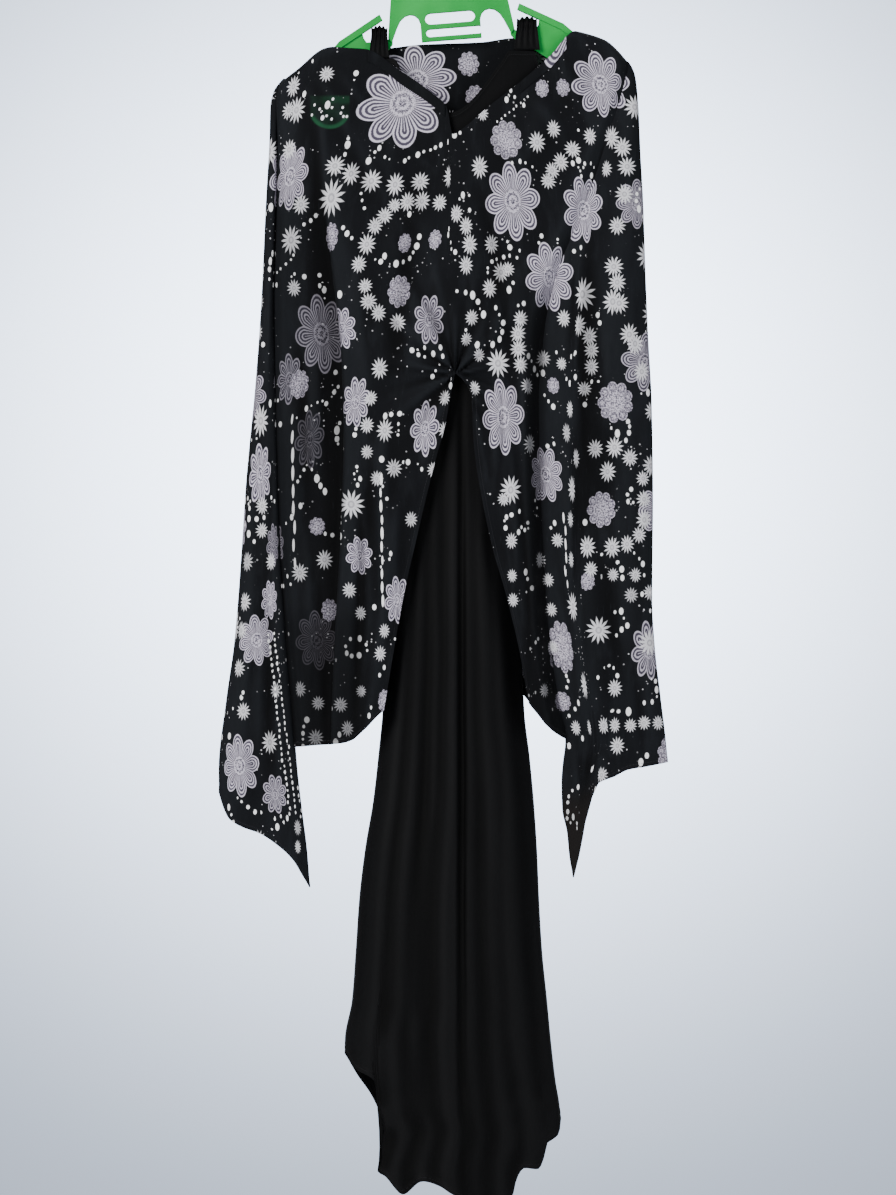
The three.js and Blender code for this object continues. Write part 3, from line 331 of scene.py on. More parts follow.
class Cloth:
    """A grid of points that becomes one closed wall, with the flat places of its print.

    "reach" is each point's distance from the nearest turned edge. A cloth with a
    slit has its columns in two halves, joined above the slit's first row. "facing"
    is -1 where the grid's normals point into the garment.
    """

    def __init__(self, name, points, reach=None, wrapped=False, slit=None, facing=1):
        self.name, self.points, self.wrapped = name, points, wrapped
        self.slit, self.facing = slit, facing
        rows, columns = points.shape[:2]
        parts = [slice(0, columns)] if slit is None else [slice(0, slit[0]), slice(slit[0], columns)]
        self.parts = parts
        normal = np.concatenate([grid_normals(points[:, part], wrapped) for part in parts], axis=1)
        self.reach = np.full((rows, columns), NO_EDGE) if reach is None else reach
        half = (CLOTH / 2 + hem_swell(self.reach))[..., None]
        self.outer, self.inner = points + normal * half, points - normal * half
        across = arc(points, 1)
        middle = columns // 2 if slit is None else slit[0]
        flat_u = across - across[:, middle:middle + 1] + points[:, middle:middle + 1, 0]
        if slit is not None:
            own = across[:, :middle] - across[:, middle - 1:middle] + points[:, middle - 1:middle, 0]
            flat_u[:, :middle] = own
        flat_u = points[..., 0] + smoothed_down(flat_u - points[..., 0])
        self.flat = np.stack([flat_u.ravel(), -points[..., 2].ravel()], axis=1)

    def relief(self):
        """How far each point lies in a hollow of the cloth, and how far on a crest, from 0 to 1."""
        rows = len(self.points)
        row = rows if self.slit is None else self.slit[1]
        parts = [(slice(0, row), slice(0, None))] + [(slice(row, rows), part) for part in self.parts]
        sunk = np.zeros(self.points.shape[:2])
        for down, across in parts:
            piece = self.points[down, across]
            if not len(piece):
                continue
            number = np.arange(piece.shape[1])
            weight = np.exp(-((number[:, None] - number[None, :]) / FOLD_REACH) ** 2)
            weight /= weight.sum(axis=1, keepdims=True)
            around = np.einsum("ij,rjk->rik", weight, piece)
            outward = (self.outer - self.inner)[down, across]
            outward = outward / np.linalg.norm(outward, axis=2, keepdims=True)
            sunk[down, across] = ((around - piece) * outward).sum(axis=2)
        sunk = sunk * self.facing / FOLD_DEEP
        return np.clip(sunk, 0, 1), np.clip(-sunk, 0, 1)

    def rims(self, number, spots):
        """The free edges as lines of points, and whether each runs against its face's order."""
        lines = [(number[0], spots[0], False)]
        lines += [(number[-1, part], spots[-1, part], True) for part in self.parts]
        if not self.wrapped:
            lines += [(number[:, 0], spots[:, 0], True), (number[:, -1], spots[:, -1], False)]
        if self.slit is not None:
            column, row = self.slit
            lines += [(number[row:, column - 1], spots[row:, column - 1], False),
                      (number[row:, column], spots[row:, column], True)]
        return lines

    def build(self):
        """Makes the mesh object, with "flat" and "edge" UV maps in metres."""
        rows, columns = self.points.shape[:2]
        used = columns - 1 if self.wrapped else columns
        number = np.arange(rows * used).reshape(rows, used)
        if self.wrapped:
            number = np.concatenate([number, number[:, :1]], axis=1)
        count = rows * used
        spots = np.arange(rows * columns).reshape(rows, columns)
        quads, places = [], []

        def add(corners, their_spots, other):
            turn = -1 if other else 1
            quads.append(np.stack([q.ravel() for q in corners[::turn]], axis=1))
            places.append(np.stack([p.ravel() for p in their_spots[::turn]], axis=1))

        def corners_of(grid):
            return [grid[:-1, :-1], grid[1:, :-1], grid[1:, 1:], grid[:-1, 1:]]

        for part in self.parts:
            faces, their_spots = corners_of(number[:, part]), corners_of(spots[:, part])
            add(faces, their_spots, False)
            add([f + count for f in faces], their_spots, True)
        for line, spot, other in self.rims(number, spots):
            a, b, pa, pb = line[:-1], line[1:], spot[:-1], spot[1:]
            add([a, b, b + count, a + count], [pa, pb, pb, pa], other)
        self.places = np.concatenate(places)
        sides = [side[:, :used].reshape(-1, 3) for side in (self.outer, self.inner)]
        mesh = bpy.data.meshes.new(self.name)
        mesh.from_pydata((np.concatenate(sides) * MM).tolist(), [], np.concatenate(quads).tolist())
        mesh.shade_smooth()
        self.object = bpy.data.objects.new(self.name, mesh)
        bpy.context.scene.collection.objects.link(self.object)
        self.add_uv("flat", self.flat[self.places] * MM)
        along = arc(self.points, 1) + arc(self.points, 0)
        edge = np.stack([along.ravel(), np.minimum(self.reach, 60).ravel()], axis=1)
        self.add_uv("edge", edge[self.places] * MM)
        # hollows and crests of the folds, where the materials paint shade and highlight
        hollow, crest = self.relief()
        self.add_uv("relief", np.stack([hollow.ravel(), crest.ravel()], axis=1)[self.places])
        return self

    def add_uv(self, name, corners):
        layer = self.object.data.uv_layers.new(name=name)
        layer.data.foreach_set("uv", corners.reshape(-1).astype(np.float32))

    def weld(self):
        """Joins points that lie together, as above a slit."""
        soft = bmesh.new()
        soft.from_mesh(self.object.data)
        bmesh.ops.remove_doubles(soft, verts=soft.verts, dist=WELD)
        soft.to_mesh(self.object.data)
        soft.free()


def edge_reach(points, bottom=False, top=False):
    """Distance of each point from the turned edges at the grid's ends."""
    down = arc(points, 0)
    reach = np.full(down.shape, NO_EDGE)
    if bottom:
        reach = np.minimum(reach, down[-1:] - down)
    if top:
        reach = np.minimum(reach, down)
    return reach


# ---- the outer layer ---------------------------------------------------------

def sleeve_table(side):
    return SLEEVE_LEFT if side == "left" else SLEEVE_RIGHT


def level(side, drop):
    """1 where a panel runs on level with the sleeve, and 0 where a valley parts them."""
    return 1 - smooth(*(LEVEL_LEFT if side == "left" else LEVEL_RIGHT), drop)


def panel_edge(side, drop):
    """Where the front or back ends, a little way in behind the sleeve's inner fold."""
    rows = sleeve_table(side)
    inner, outer = read(rows, drop, "inner", "drop"), read(rows, drop, "outer", "drop")
    tuck = TUCK + 0.16 * np.abs(outer - inner) * level(side, drop)
    return inner + (-tuck if side == "left" else tuck)


def edge_share(side, drop):
    """How far out towards the sleeve's surface a panel meets it."""
    return mix(0.35, 0.84, level(side, drop))


def shoulder_roll(x, below):
    past = np.maximum(SHOULDER_LEFT - x, x - SHOULDER_RIGHT)
    share = smooth(-6, 4, past)
    t = np.clip(below / SHOULDER_ROLL, 0, 1)
    return mix(1, np.sqrt(1 - (1 - t) ** 2), share)


def top_edge(rows, column_x):
    nearby = read(rows, column_x(SHOULDER_DROP), "drop", "x")
    return read(rows, column_x(nearby), "drop", "x")


def front_x(side, across, drop):
    return mix(panel_edge(side, drop), read(OPENING, drop, side, "drop"), across)


def gathers(x, drop):
    """Pleats that fan out from the gathered point, with finer ones close to it."""
    dx, dz = x - GATHER_X, drop - GATHER_DROP
    away, turn = np.hypot(dx, dz), np.arctan2(dx, -dz)
    fade = smooth(0, 10, away)
    broad = 4.4 * np.exp(-away / 62) * np.cos(9 * turn)
    fine = 2.2 * np.exp(-away / 38) * np.cos(23 * turn + 0.6 * np.sin(3 * turn))
    return fade * (broad + fine)


def front_depth(side, x, drop, below):
    drapes = SAG * np.cos((x - GATHER_X) / 34) * smooth(280, 400, drop) * (1 - smooth(480, 600, drop))
    depth = read(FRONT_DEPTH, drop, "depth", "drop") + fold_height(FRONT_FOLDS, x, drop)
    depth = depth + gathers(x, drop) + drapes
    calm = smooth(8, 60, below)
    depth = depth + calm * (fold_height(FRONT_CREASES, x, drop) + ripples(3, x, drop, 0.55))
    if side == "left":
        inside = (x - read(LEFT_FOLD, drop, "x", "drop")) / FOLD_TURN
        depth = depth - read(LEFT_FOLD, drop, "recess", "drop") * (1 - smooth(-1, 1, inside))
    rows = sleeve_table(side)
    half = read(rows, drop, "half", "drop")
    edge_depth = -read(rows, drop, "plane", "drop") + half * edge_share(side, drop)
    from_edge = np.abs(x - panel_edge(side, drop))
    reach = (14 if side == "left" else 20) - 8 * (1 - smooth(230, 330, drop))
    settled = mix(edge_depth, depth, smooth(0, reach, from_edge))
    return np.maximum(SHOULDER_SEAM, settled * shoulder_roll(x, below))


def fold_lean(side, x, drop):
    """The left fold's edge hangs over the cloth beside it."""
    if side != "left":
        return 0
    off = (x - read(LEFT_FOLD, drop, "x", "drop")) / FOLD_TURN
    strength = smooth(4, 16, read(LEFT_FOLD, drop, "recess", "drop"))
    return -FOLD_LEAN * strength * off * np.exp(-off * off)


def front_at(side, across, drop, below):
    x = front_x(side, across, drop)
    depth = front_depth(side, x, drop, below)
    return np.stack([x + fold_lean(side, x, drop), -depth, -drop * np.ones_like(x)], axis=-1)


FRONT_UPPER = cells(390, ends=("start",))
FRONT_LOWER = 1 + cells(446, ends=("end",))[1:]


def front_half(side):
    """Rows 0 to 1 run from the neck or shoulder to the gathers, and 1 to 2 on to the hem."""
    along = np.concatenate([FRONT_UPPER, FRONT_LOWER])[:, None]
    across = cells(205, 3.3, ends=("end",))[None, :]
    top = top_edge(FRONT_TOP, lambda drop: front_x(side, across, drop))
    hem = read(FRONT_HEM, front_x(side, across, HEM_DROP), "drop", "x")
    drop = np.where(along <= 1, mix(top, GATHER_DROP, along), mix(GATHER_DROP, hem, along - 1))
    return front_at(side, across + 0 * drop, drop, drop - top)


def front_cloth():
    """Both halves of the front as one cloth, with the opening as a slit below the gathers."""
    left, right = front_half("left"), front_half("right")[:, ::-1]
    points = np.concatenate([left, right], axis=1)
    middle, row = left.shape[1], len(FRONT_UPPER) - 1
    reach = edge_reach(points, bottom=True)
    left_run, right_run = arc(left, 1), arc(right, 1)
    inward = np.concatenate([left_run[:, -1:] - left_run, right_run], axis=1)
    below = smooth(0, 25, -points[..., 2] - GATHER_DROP)
    reach = np.minimum(reach, inward + 30 * (1 - below))
    return Cloth("front_cloth", points, reach, slit=(middle, row))


def back_points():
    along = cells(830, 4.2, ends=("end",))[:, None]
    across = cells(420, 3.6)[None, :]

    def column_x(drop):
        return mix(panel_edge("left", drop), panel_edge("right", drop), across)

    top = top_edge(BACK_TOP, column_x)
    drop = mix(top, read(BACK_HEM, column_x(HEM_DROP), "drop", "x"), along)
    x = column_x(drop)
    depth = read(FRONT_DEPTH, drop, "back", "drop") + fold_height(BACK_FOLDS, x, drop)
    calm = smooth(8, 60, drop - top)
    depth = depth + calm * (fold_height(BACK_CREASES, x, drop) + ripples(5, x, drop, 0.7))
    for side, here in (("left", across < 0.5), ("right", across >= 0.5)):
        rows = sleeve_table(side)
        half = read(rows, drop, "half", "drop")
        edge_depth = read(rows, drop, "plane", "drop") + half * edge_share(side, drop)
        from_edge = np.abs(x - panel_edge(side, drop))
        reach = 28 - 18 * (1 - smooth(230, 360, drop))
        depth = np.where(here, mix(edge_depth, depth, smooth(0, reach, from_edge)), depth)
    y = np.maximum(SHOULDER_SEAM, depth * shoulder_roll(x, drop - top))
    return np.stack([x, y, -drop], axis=-1)


def sleeve_points(side, around):
    """A flat tube, drawn together at the shoulder and open at the cuff."""
    rows, cuff = sleeve_table(side), CUFF_LEFT if side == "left" else CUFF_RIGHT
    turn = np.linspace(0, 1, around + 1)[None, :]
    if side == "right":
        turn = 1 - turn
    near_head = [0.0015, 0.004, 0.009, 0.014]
    along = np.unique(np.concatenate([cells(900, 4, ends=("end",)), near_head]))[:, None]

    def rounded(v):
        return np.sign(v) * np.abs(v) ** 0.75

    across = (1 + rounded(np.cos(turn * 2 * np.pi))) / 2
    top = rows["drop"][0]
    drop = mix(top, read(cuff, across, "drop", "across"), along)
    outer = read(rows, drop, "outer", "drop")
    x = mix(outer, read(rows, drop, "inner", "drop"), across)
    half = read(rows, drop, "half", "drop") * smooth(-0.002, 0.004, along)
    out = rounded(np.sin(turn * 2 * np.pi)) + 0 * along
    facing = np.maximum(0, -out) * np.clip(half / 12, 0, 1)
    fine = fold_height(SLEEVE_CREASES, x, drop) + ripples(11, x, drop, 0.6)
    fold = (fold_height(SLEEVE_FOLDS, x, drop) + fine) * facing
    behind = ripples(13, x, drop, 1.2) * np.maximum(0, out) * np.clip(half / 12, 0, 1)
    y = read(rows, drop, "plane", "drop") + half * out - fold + behind
    return np.stack([x, y, -drop], axis=-1)


def band_points(side, from_x, to_x):
    """The turned neck edge lies on the front, moved out from its points."""
    x = np.linspace(from_x, to_x, 46)[None, :]
    along = np.array([0, 0.05, 0.15, 0.3, 0.45, 0.6, 0.75, 0.88, 0.96, 1])[:, None]
    top = read(FRONT_TOP, x, "drop", "x")
    edge = panel_edge(side, top)
    across = (x - edge) / (read(OPENING, top, side, "drop") - edge) + 0 * along
    drop = top + 0.4 + along * BAND_WIDTH

    def at(a, d):
        return front_at(side, a, d, d - top + 2)

    du = at(across + 0.01, drop) - at(across - 0.01, drop)
    dv = at(across, drop + 1) - at(across, drop - 1)
    normal = np.cross(du, dv)
    normal = normal / np.linalg.norm(normal, axis=2, keepdims=True)
    normal = normal * -np.sign(normal[..., 1:2])
    roll = 1.0 + 0.5 * np.sin(np.pi * along)[..., None]
    return at(across, drop) + normal * roll


# ---- the under-dress ---------------------------------------------------------

def skirt_folds(across, drop, facing):
    along, size = smooth(GATHER_DROP - 60, 1500, drop), smooth(430, 1100, drop)
    highs = SKIRT_FOLDS["high"] if facing < 0 else 0.7 * SKIRT_FOLDS["high"][::-1]
    total = -SKIRT_TROUGH * size
    for top, hem, wide, high in zip(SKIRT_FOLDS["top"], SKIRT_FOLDS["hem"], SKIRT_FOLDS["wide"], highs):
        place = mix(top, hem, along) + (0.06 if facing > 0 else 0)
        slope = (across - place) / (wide * SKIRT_WIDER)
        total = total + high * SKIRT_SOFTER * size * np.exp(-slope ** 2)
    return total


def dress_points(facing):
    """facing is -1 for the front of the dress and 1 for its back."""
    across = (cells(230, 2.8))[None, :]
    across = (1 - np.cos(np.pi * across)) * 0.15 + across * 0.7
    along = cells(1340, 6, ends=("start", "end"))[:, None]

    def edge(key, drop):
        return read(DRESS, drop, key, "drop")

    top = read(DRESS_TOP, mix(edge("left", 240), edge("right", 240), across), "drop", "x")
    hem = read(DRESS_HEM, across, "front" if facing < 0 else "back", "across")
    drop = mix(top, hem, along)
    x = mix(edge("left", drop), edge("right", drop), across)
    rounded = (1 - np.abs(2 * across - 1) ** 3) ** 0.45
    depth = edge("half", drop) + skirt_folds(across, drop, facing)
    fine = fold_height(SKIRT_CREASES, x * facing * -1, drop) + ripples(17 + facing, x, drop, 0.3)
    depth = depth * rounded + fine * smooth(0.02, 0.3, rounded) * smooth(5, 60, drop - top)
    depth = np.maximum(0.5 * smooth(0, 0.25, rounded) - SIDE_SEAM, depth - SIDE_SEAM * (1 - rounded))
    return np.stack([x, facing * depth, -drop], axis=-1)


def strap_points(x, wide, top, foot):
    """A strap goes up from the front of the dress, over the hanger and down behind."""
    straight = foot - top - STRAP_HALF
    a = np.linspace(0, 1, 49)[None, :]
    up, over_bar, behind = np.linspace(0, 1, 12), np.linspace(1, 2, 26), np.linspace(2, 3, 12)
    b = np.concatenate([up, over_bar[1:], behind[1:]])[:, None]
    rib = STRAP_RIB_HIGH * np.cos(a * STRAP_RIBS * 2 * np.pi + 0.5 * np.sin(b * 4))
    pucker = 0.35 * np.sin(b * 21 + 5 * np.sin(a * 9)) * np.sin(np.pi * a)
    out = STRAP_HALF + rib + pucker
    over = (b > 1) & (b < 2)
    down = np.where(over, 0, np.maximum(1 - b, b - 2))
    angle = np.clip(b - 1, 0, 1) * np.pi
    crown = STRAP_ARCH * (1 - (2 * a - 1) ** 2) * np.sin(angle)
    y = -np.cos(angle) * mix(out, STRAP_FOOT, down)
    drop = top + STRAP_HALF - np.sin(angle) * out - crown + down * straight
    across = x + (a - 0.5) * wide * (1 + STRAP_FLARE * down)
    return np.stack([across + 0 * y, y, -drop], axis=-1)


# ---- the print: ordinary flowers, daisies, stars and dots ---------------------

# Where the motifs of the outer layer lie as it hangs. "dim" is how far a motif is faded, from 0 to 3, and
# "turn" is part of a petal's angle. The faded motifs in the left recess are partly painted shade there and
# partly the fainter print of the layer lying back.
FLOWERS = table("x drop wide tall turn dim", [
    (-58, 240, 58, 55, 0.2, 0), (179, 217, 38, 40, 0.1, 0), (74, 358, 38, 48, 0.1, 0),
    (158, 368, 32, 41, 0.3, 0), (118, 448, 32, 42, 0.2, 0), (62, 616, 26, 46, 0.1, 0),
    (113, 684, 24, 34, 0.3, 0), (-193, 328, 26, 41, 0.2, 0), (-155, 516, 32, 48, 0.1, 2),
    (-130, 510, 18, 26, 0.4, 0), (-228, 684, 18, 38, 0.2, 0), (-114, 598, 17, 31, 0.3, 0),
    (-31, 630, 18, 34, 0.1, 0), (-26, 500, 19, 31, 0.4, 1), (-232, 882, 26, 31, 0.2, 0),
    (-217, 834, 14, 24, 0.3, 0), (-253, 1032, 26, 38, 0.1, 0), (-211, 1066, 20, 24, 0.3, 1),
    (-109, 781, 17, 23, 0.2, 0), (-64, 834, 18, 29, 0.2, 0), (236, 894, 22, 36, 0.2, 1),
    (-160, 882, 26, 36, 0.1, 3), (-169, 642, 19, 36, 0.2, 3), (-193, 570, 17, 31, 0.1, 2),
    (-211, 768, 14, 26, 0.2, 2),
])
ROSETTES = table("x drop wide tall", [
    (66, 284, 23, 24), (-144, 401, 10, 18), (-55, 408, 8, 12), (-19, 404, 8, 12), (-62, 466, 14, 20),
    (196, 598, 22, 25), (179, 726, 18, 22), (133, 890, 18, 32), (-160, 746, 10, 11),
    (109, 222, 10, 11), (133, 221, 10, 11), (133, 955, 11, 12), (122, 578, 8, 10), (162, 812, 10, 11),
    (-181, 576, 12, 18), (-79, 954, 10, 14), (-145, 846, 10, 14),
])
CHAINS = table("fromX fromDrop midX midDrop toX toDrop count size", [
    (-139, 314, -68, 336, 34, 318, 7, 12), (-110, 433, -79, 374, -36, 358, 7, 10),
    (-13, 361, 18, 389, 20, 434, 5, 10), (-103, 461, -91, 486, -64, 504, 4, 10),
    (116, 332, 131, 310, 167, 282, 5, 10), (191, 280, 210, 316, 198, 388, 5, 11),
    (67, 440, 53, 451, 25, 497, 4, 10), (84, 498, 80, 534, 91, 580, 5, 10),
    (137, 498, 169, 536, 144, 608, 7, 10), (149, 666, 194, 653, 228, 690, 5, 10),
    (230, 714, 212, 768, 126, 762, 7, 10), (149, 986, 197, 984, 247, 980, 7, 8),
    (-190, 220, -196, 270, -181, 360, 4, 11), (194, 436, 203, 480, 227, 560, 5, 11),
    (-95, 594, -102, 642, -90, 690, 4, 8), (-226, 720, -227, 750, -217, 786, 3, 10),
    (-246, 834, -253, 894, -248, 968, 4, 10), (65, 714, 73, 786, 73, 834, 4, 8),
    (-121, 822, -95, 860, -37, 882, 4, 8), (145, 786, 179, 800, 222, 804, 4, 8),
    (18, 522, 32, 541, 28, 582, 3, 8), (-181, 942, -145, 960, -107, 942, 4, 8),
    (-7, 594, -13, 654, -49, 738, 4, 8), (107, 786, 121, 846, 113, 942, 5, 8),
])
STARS = table("x drop wide tall", [
    (-143, 354, 16, 23), (-185, 248, 14, 16), (56, 552, 14, 17), (71, 703, 13, 17), (145, 702, 13, 16),
    (146, 842, 17, 17), (176, 870, 16, 16), (158, 936, 16, 16), (-119, 720, 16, 17), (-191, 404, 13, 17),
    (158, 469, 17, 20), (193, 478, 12, 16), (-227, 620, 12, 19), (-217, 1004, 12, 14), (122, 271, 10, 11),
    (103, 287, 12, 13), (-79, 632, 10, 14), (95, 648, 10, 12), (220, 528, 11, 14), (-151, 786, 10, 12),
    (-85, 558, 10, 13), (199, 1008, 10, 11),
])
# Slivers of motifs drawn out along a fold, and rows of small dots.
SLIVERS = table("fromX fromDrop toX toDrop count wide tall", [
    (-83, 690, -82, 835, 10, 1.7, 7), (-190, 618, -187, 790, 9, 1.5, 8), (135, 736, 137, 815, 6, 1.7, 6),
    (-219, 876, -192, 1090, 31, 1.7, 2.1), (-211, 874, -184, 1088, 31, 1.7, 2.1),
    (56, 262, 92, 232, 9, 1.0, 1.4),
])
SLEEVE_BACKS = {"left": (61, (-280, -200, 225, 1150), 7), "right": (71, (110, 262, 200, 1140), 10)}
NECK_PETAL = np.array([[148, 147, 66, 66, 0.0, 0]])   # one petal lies along the right neck edge
TONE_STEP = 8               # a motif's fading is kept as this many units of its U coordinate
SMALL_FLOWER = 24           # smaller ones have fewer arcs, kept in the V coordinate in the same way
OFF_MOTIF = 3.0             # a place outside every motif, in half sizes of one
PRINT_SLACK, PRINT_NEAR = 6, 2.5   # how far off its cloth a motif may lie, and how close spots are one


def motif(rows, turn=0.0):
    """Motifs as rows of x, drop, half width, half height, turn and dim."""
    count = len(rows["x"])
    turns = rows.get("turn", np.full(count, turn))
    dims = rows.get("dim", np.zeros(count))
    return np.stack([rows["x"], rows["drop"], rows["wide"], rows["tall"], turns, dims], axis=1)


def chain_daisies():
    """Small daisies along arcs, each a little uneven in size and place."""
    rng = np.random.default_rng(21)
    found = []
    for row in zip(*CHAINS.values()):
        from_x, from_drop, mid_x, mid_drop, to_x, to_drop, count, size = row
        for t in np.linspace(0, 1, int(count)):
            a, b, c = (1 - t) * (1 - 2 * t), 4 * t * (1 - t), t * (2 * t - 1)
            x = a * from_x + b * mid_x + c * to_x + rng.normal(0, 1)
            drop = a * from_drop + b * mid_drop + c * to_drop + rng.normal(0, 1)
            wide = size * rng.uniform(0.88, 1.08)
            found.append([x, drop, wide, wide * rng.uniform(1, 1.3), rng.uniform(0, 1), 0])
    return np.array(found)


def scatter(seed, count, box, sizes, taken, gap=2.0, dims=(0,), tall=(1, 1.25)):
    """Motifs at places of their own inside a box that keep clear of those taken."""
    rng = np.random.default_rng(seed)
    kept, found = list(taken), []
    left, right, top, bottom = box
    for _ in range(count * 14):
        if len(found) == count:
            break
        wide = rng.uniform(*sizes)
        row = [rng.uniform(left, right), rng.uniform(top, bottom), wide,
               wide * rng.uniform(*tall), rng.uniform(0, 1), rng.choice(dims)]
        others = np.array(kept) if kept else np.zeros((0, 6))
        far = np.hypot(others[:, 0] - row[0], others[:, 1] - row[1])
        if (far > (others[:, 2] + others[:, 3]) / 2 + row[3] + gap).all():
            kept.append(row)
            found.append(row)
    return np.array(found).reshape(-1, 6)


def dot_strings(seed, lines, area, taken, size=(1.2, 3.3)):
    """Oval dots in short curved strings and loose clusters."""
    rng = np.random.default_rng(seed)
    left, right, top, bottom = area
    found, kept = [], list(taken)
    for _ in range(lines):
        x, drop = rng.uniform(left, right), rng.uniform(top, bottom)
        heading, bend = rng.uniform(0, 2 * np.pi), rng.normal(0, 0.35)
        for _ in range(rng.integers(3, 11)):
            wide = rng.uniform(*size) * rng.choice([1, 1, 0.7])
            others = np.array(kept)
            far = np.hypot(others[:, 0] - x, others[:, 1] - drop)
            if (far > (others[:, 2] + others[:, 3]) / 2 + wide + 1).all():
                row = [x, drop, wide, wide * rng.uniform(1.1, 1.7), rng.uniform(0, 0.4), 0]
                found.append(row)
                kept.append(row)
            reach = wide * 2 + rng.uniform(2, 7)
            x, drop = x + math.cos(heading) * reach, drop + math.sin(heading) * reach
            heading += bend + rng.normal(0, 0.25)
    return np.array(found).reshape(-1, 6)


def slivers():
    rng = np.random.default_rng(23)
    found = []
    for from_x, from_drop, to_x, to_drop, count, wide, tall in zip(*SLIVERS.values()):
        for t in np.linspace(0, 1, int(count)):
            size = rng.uniform(0.75, 1.2)
            place = [mix(from_x, to_x, t) + rng.normal(0, 0.4), mix(from_drop, to_drop, t)]
            found.append([*place, wide * size, tall * size, 0, 0])
    return np.array(found)


class Print:
    """All the motifs of one side of the outer layer."""

    def __init__(self, flowers, rosettes, stars, area, seed, daisies, lines, marks=()):
        self.flower, self.rosette = flowers, rosettes
        big = np.concatenate([flowers, rosettes, stars])
        filler = scatter(seed, daisies, area, (7.5, 10), big, dims=(0, 0, 0, 1), tall=(1, 1.3))
        self.daisy = np.concatenate([stars, filler])
        everything = np.concatenate([flowers, rosettes, self.daisy, *marks])
        self.dot = np.concatenate([dot_strings(seed + 1, lines, area, everything), *marks])


# Small dots over the place where the hanger's left arm shows through.
GLIMPSE_DOTS = np.array([(x, drop, 1.4, 1.8, 0.2, 0) for x, drop in (
    (-164, 242), (-157, 247), (-149, 255), (-167, 254), (-142, 245), (-130, 245), (-132, 252),
    (-129, 256), (-143, 259), (-155, 250), (-125, 256))])


def front_print():
    daisies = np.concatenate([motif(STARS, turn=0.3), chain_daisies()])
    area = (-275, 255, 180, 1150)
    return Print(motif(FLOWERS), motif(ROSETTES, turn=0.4), daisies, area, 31, 60, 215,
                 [slivers(), GLIMPSE_DOTS])


def neck_print():
    nothing = np.zeros((0, 6))
    return Print(NECK_PETAL, nothing, nothing, (84, 138, 150, 240), 51, 0, 0)


def back_print():
    """The back hangs out of sight. It has the same kinds of motif in a layout of its own."""
    area = (-215, 225, 175, 1010)
    seen, beside = np.array([[-41, 208, 48, 42, 0.1, 0]]), np.array([[21, 189, 13, 15, 0, 0]])
    flowers = np.concatenate([seen, scatter(41, 22, area, (28, 44), seen, 16, (0, 0, 1), (1, 1.2))])
    rosettes = np.concatenate([beside, scatter(42, 24, area, (9, 22), flowers, 8)])
    stars = scatter(43, 30, area, (12, 17), np.concatenate([flowers, rosettes]), 5)
    return Print(flowers, rosettes, stars, area, 44, 110, 190)


def sleeve_back_print(seed, area, count):
    flowers = scatter(seed, count, area, (24, 38), (), 14, (0, 0, 1), (1, 1.2))
    rosettes = scatter(seed + 1, count, area, (9, 20), flowers, 6)
    stars = scatter(seed + 2, count * 2, area, (12, 17), np.concatenate([flowers, rosettes]), 5)
    return Print(flowers, rosettes, stars, area, seed + 3, count * 4, count * 8)


def flat_places(cloth, rows, facing):
    """Where motifs that are seen from the front (facing -1) or the back (1) lie on the flat cloth."""
    spots = cloth.points.reshape(-1, 3)
    found = []
    for x, drop, wide, tall, turn, dim in rows:
        far = np.hypot(spots[:, 0] - x, -spots[:, 2] - drop)
        if far.min() > max(wide, tall) + PRINT_SLACK:
            continue
        near = np.flatnonzero(far < far.min() + PRINT_NEAR)
        spot = near[np.argmax(spots[near, 1] * facing)]
        mirror = -1 if cloth.wrapped and facing > 0 else 1
        u = cloth.flat[spot, 0] + mirror * (x - spots[spot, 0])
        found.append([u, cloth.flat[spot, 1] + drop + spots[spot, 2], wide, tall, turn, dim])
    return found


def place_motifs(cloth, layouts, name):
    """A UV map that holds each corner's place in its nearest motif, in half sizes of the motif."""
    found = []
    for motifs, facing in layouts:
        found += flat_places(cloth, getattr(motifs, name), facing)
    corners = cloth.flat[cloth.places]
    if not found:
        cloth.add_uv(name, np.full(corners.shape, OFF_MOTIF))
        return
    found = np.array(found)
    middles = corners.mean(axis=1)
    best = np.full(len(middles), 1e9)
    chosen = np.zeros(len(middles), int)
    for i, (u, v, wide, tall, _, _) in enumerate(found):
        far = np.hypot((middles[:, 0] - u) / wide, (middles[:, 1] - v) / tall)
        nearer = far < best
        best[nearer], chosen[nearer] = far[nearer], i
    own = found[chosen][:, None]
    local = (corners - own[..., 0:2]) / own[..., 2:4]
    cosine, sine = np.cos(own[..., 4]), np.sin(own[..., 4])
    turned = np.stack([local[..., 0] * cosine - local[..., 1] * sine,
                       local[..., 0] * sine + local[..., 1] * cosine], axis=-1)
    turned = np.clip(turned, -OFF_MOTIF, OFF_MOTIF)
    turned[..., 0] += TONE_STEP * own[..., 5]
    turned[..., 1] += TONE_STEP * (own[..., 2] < SMALL_FLOWER)
    cloth.add_uv(name, turned)


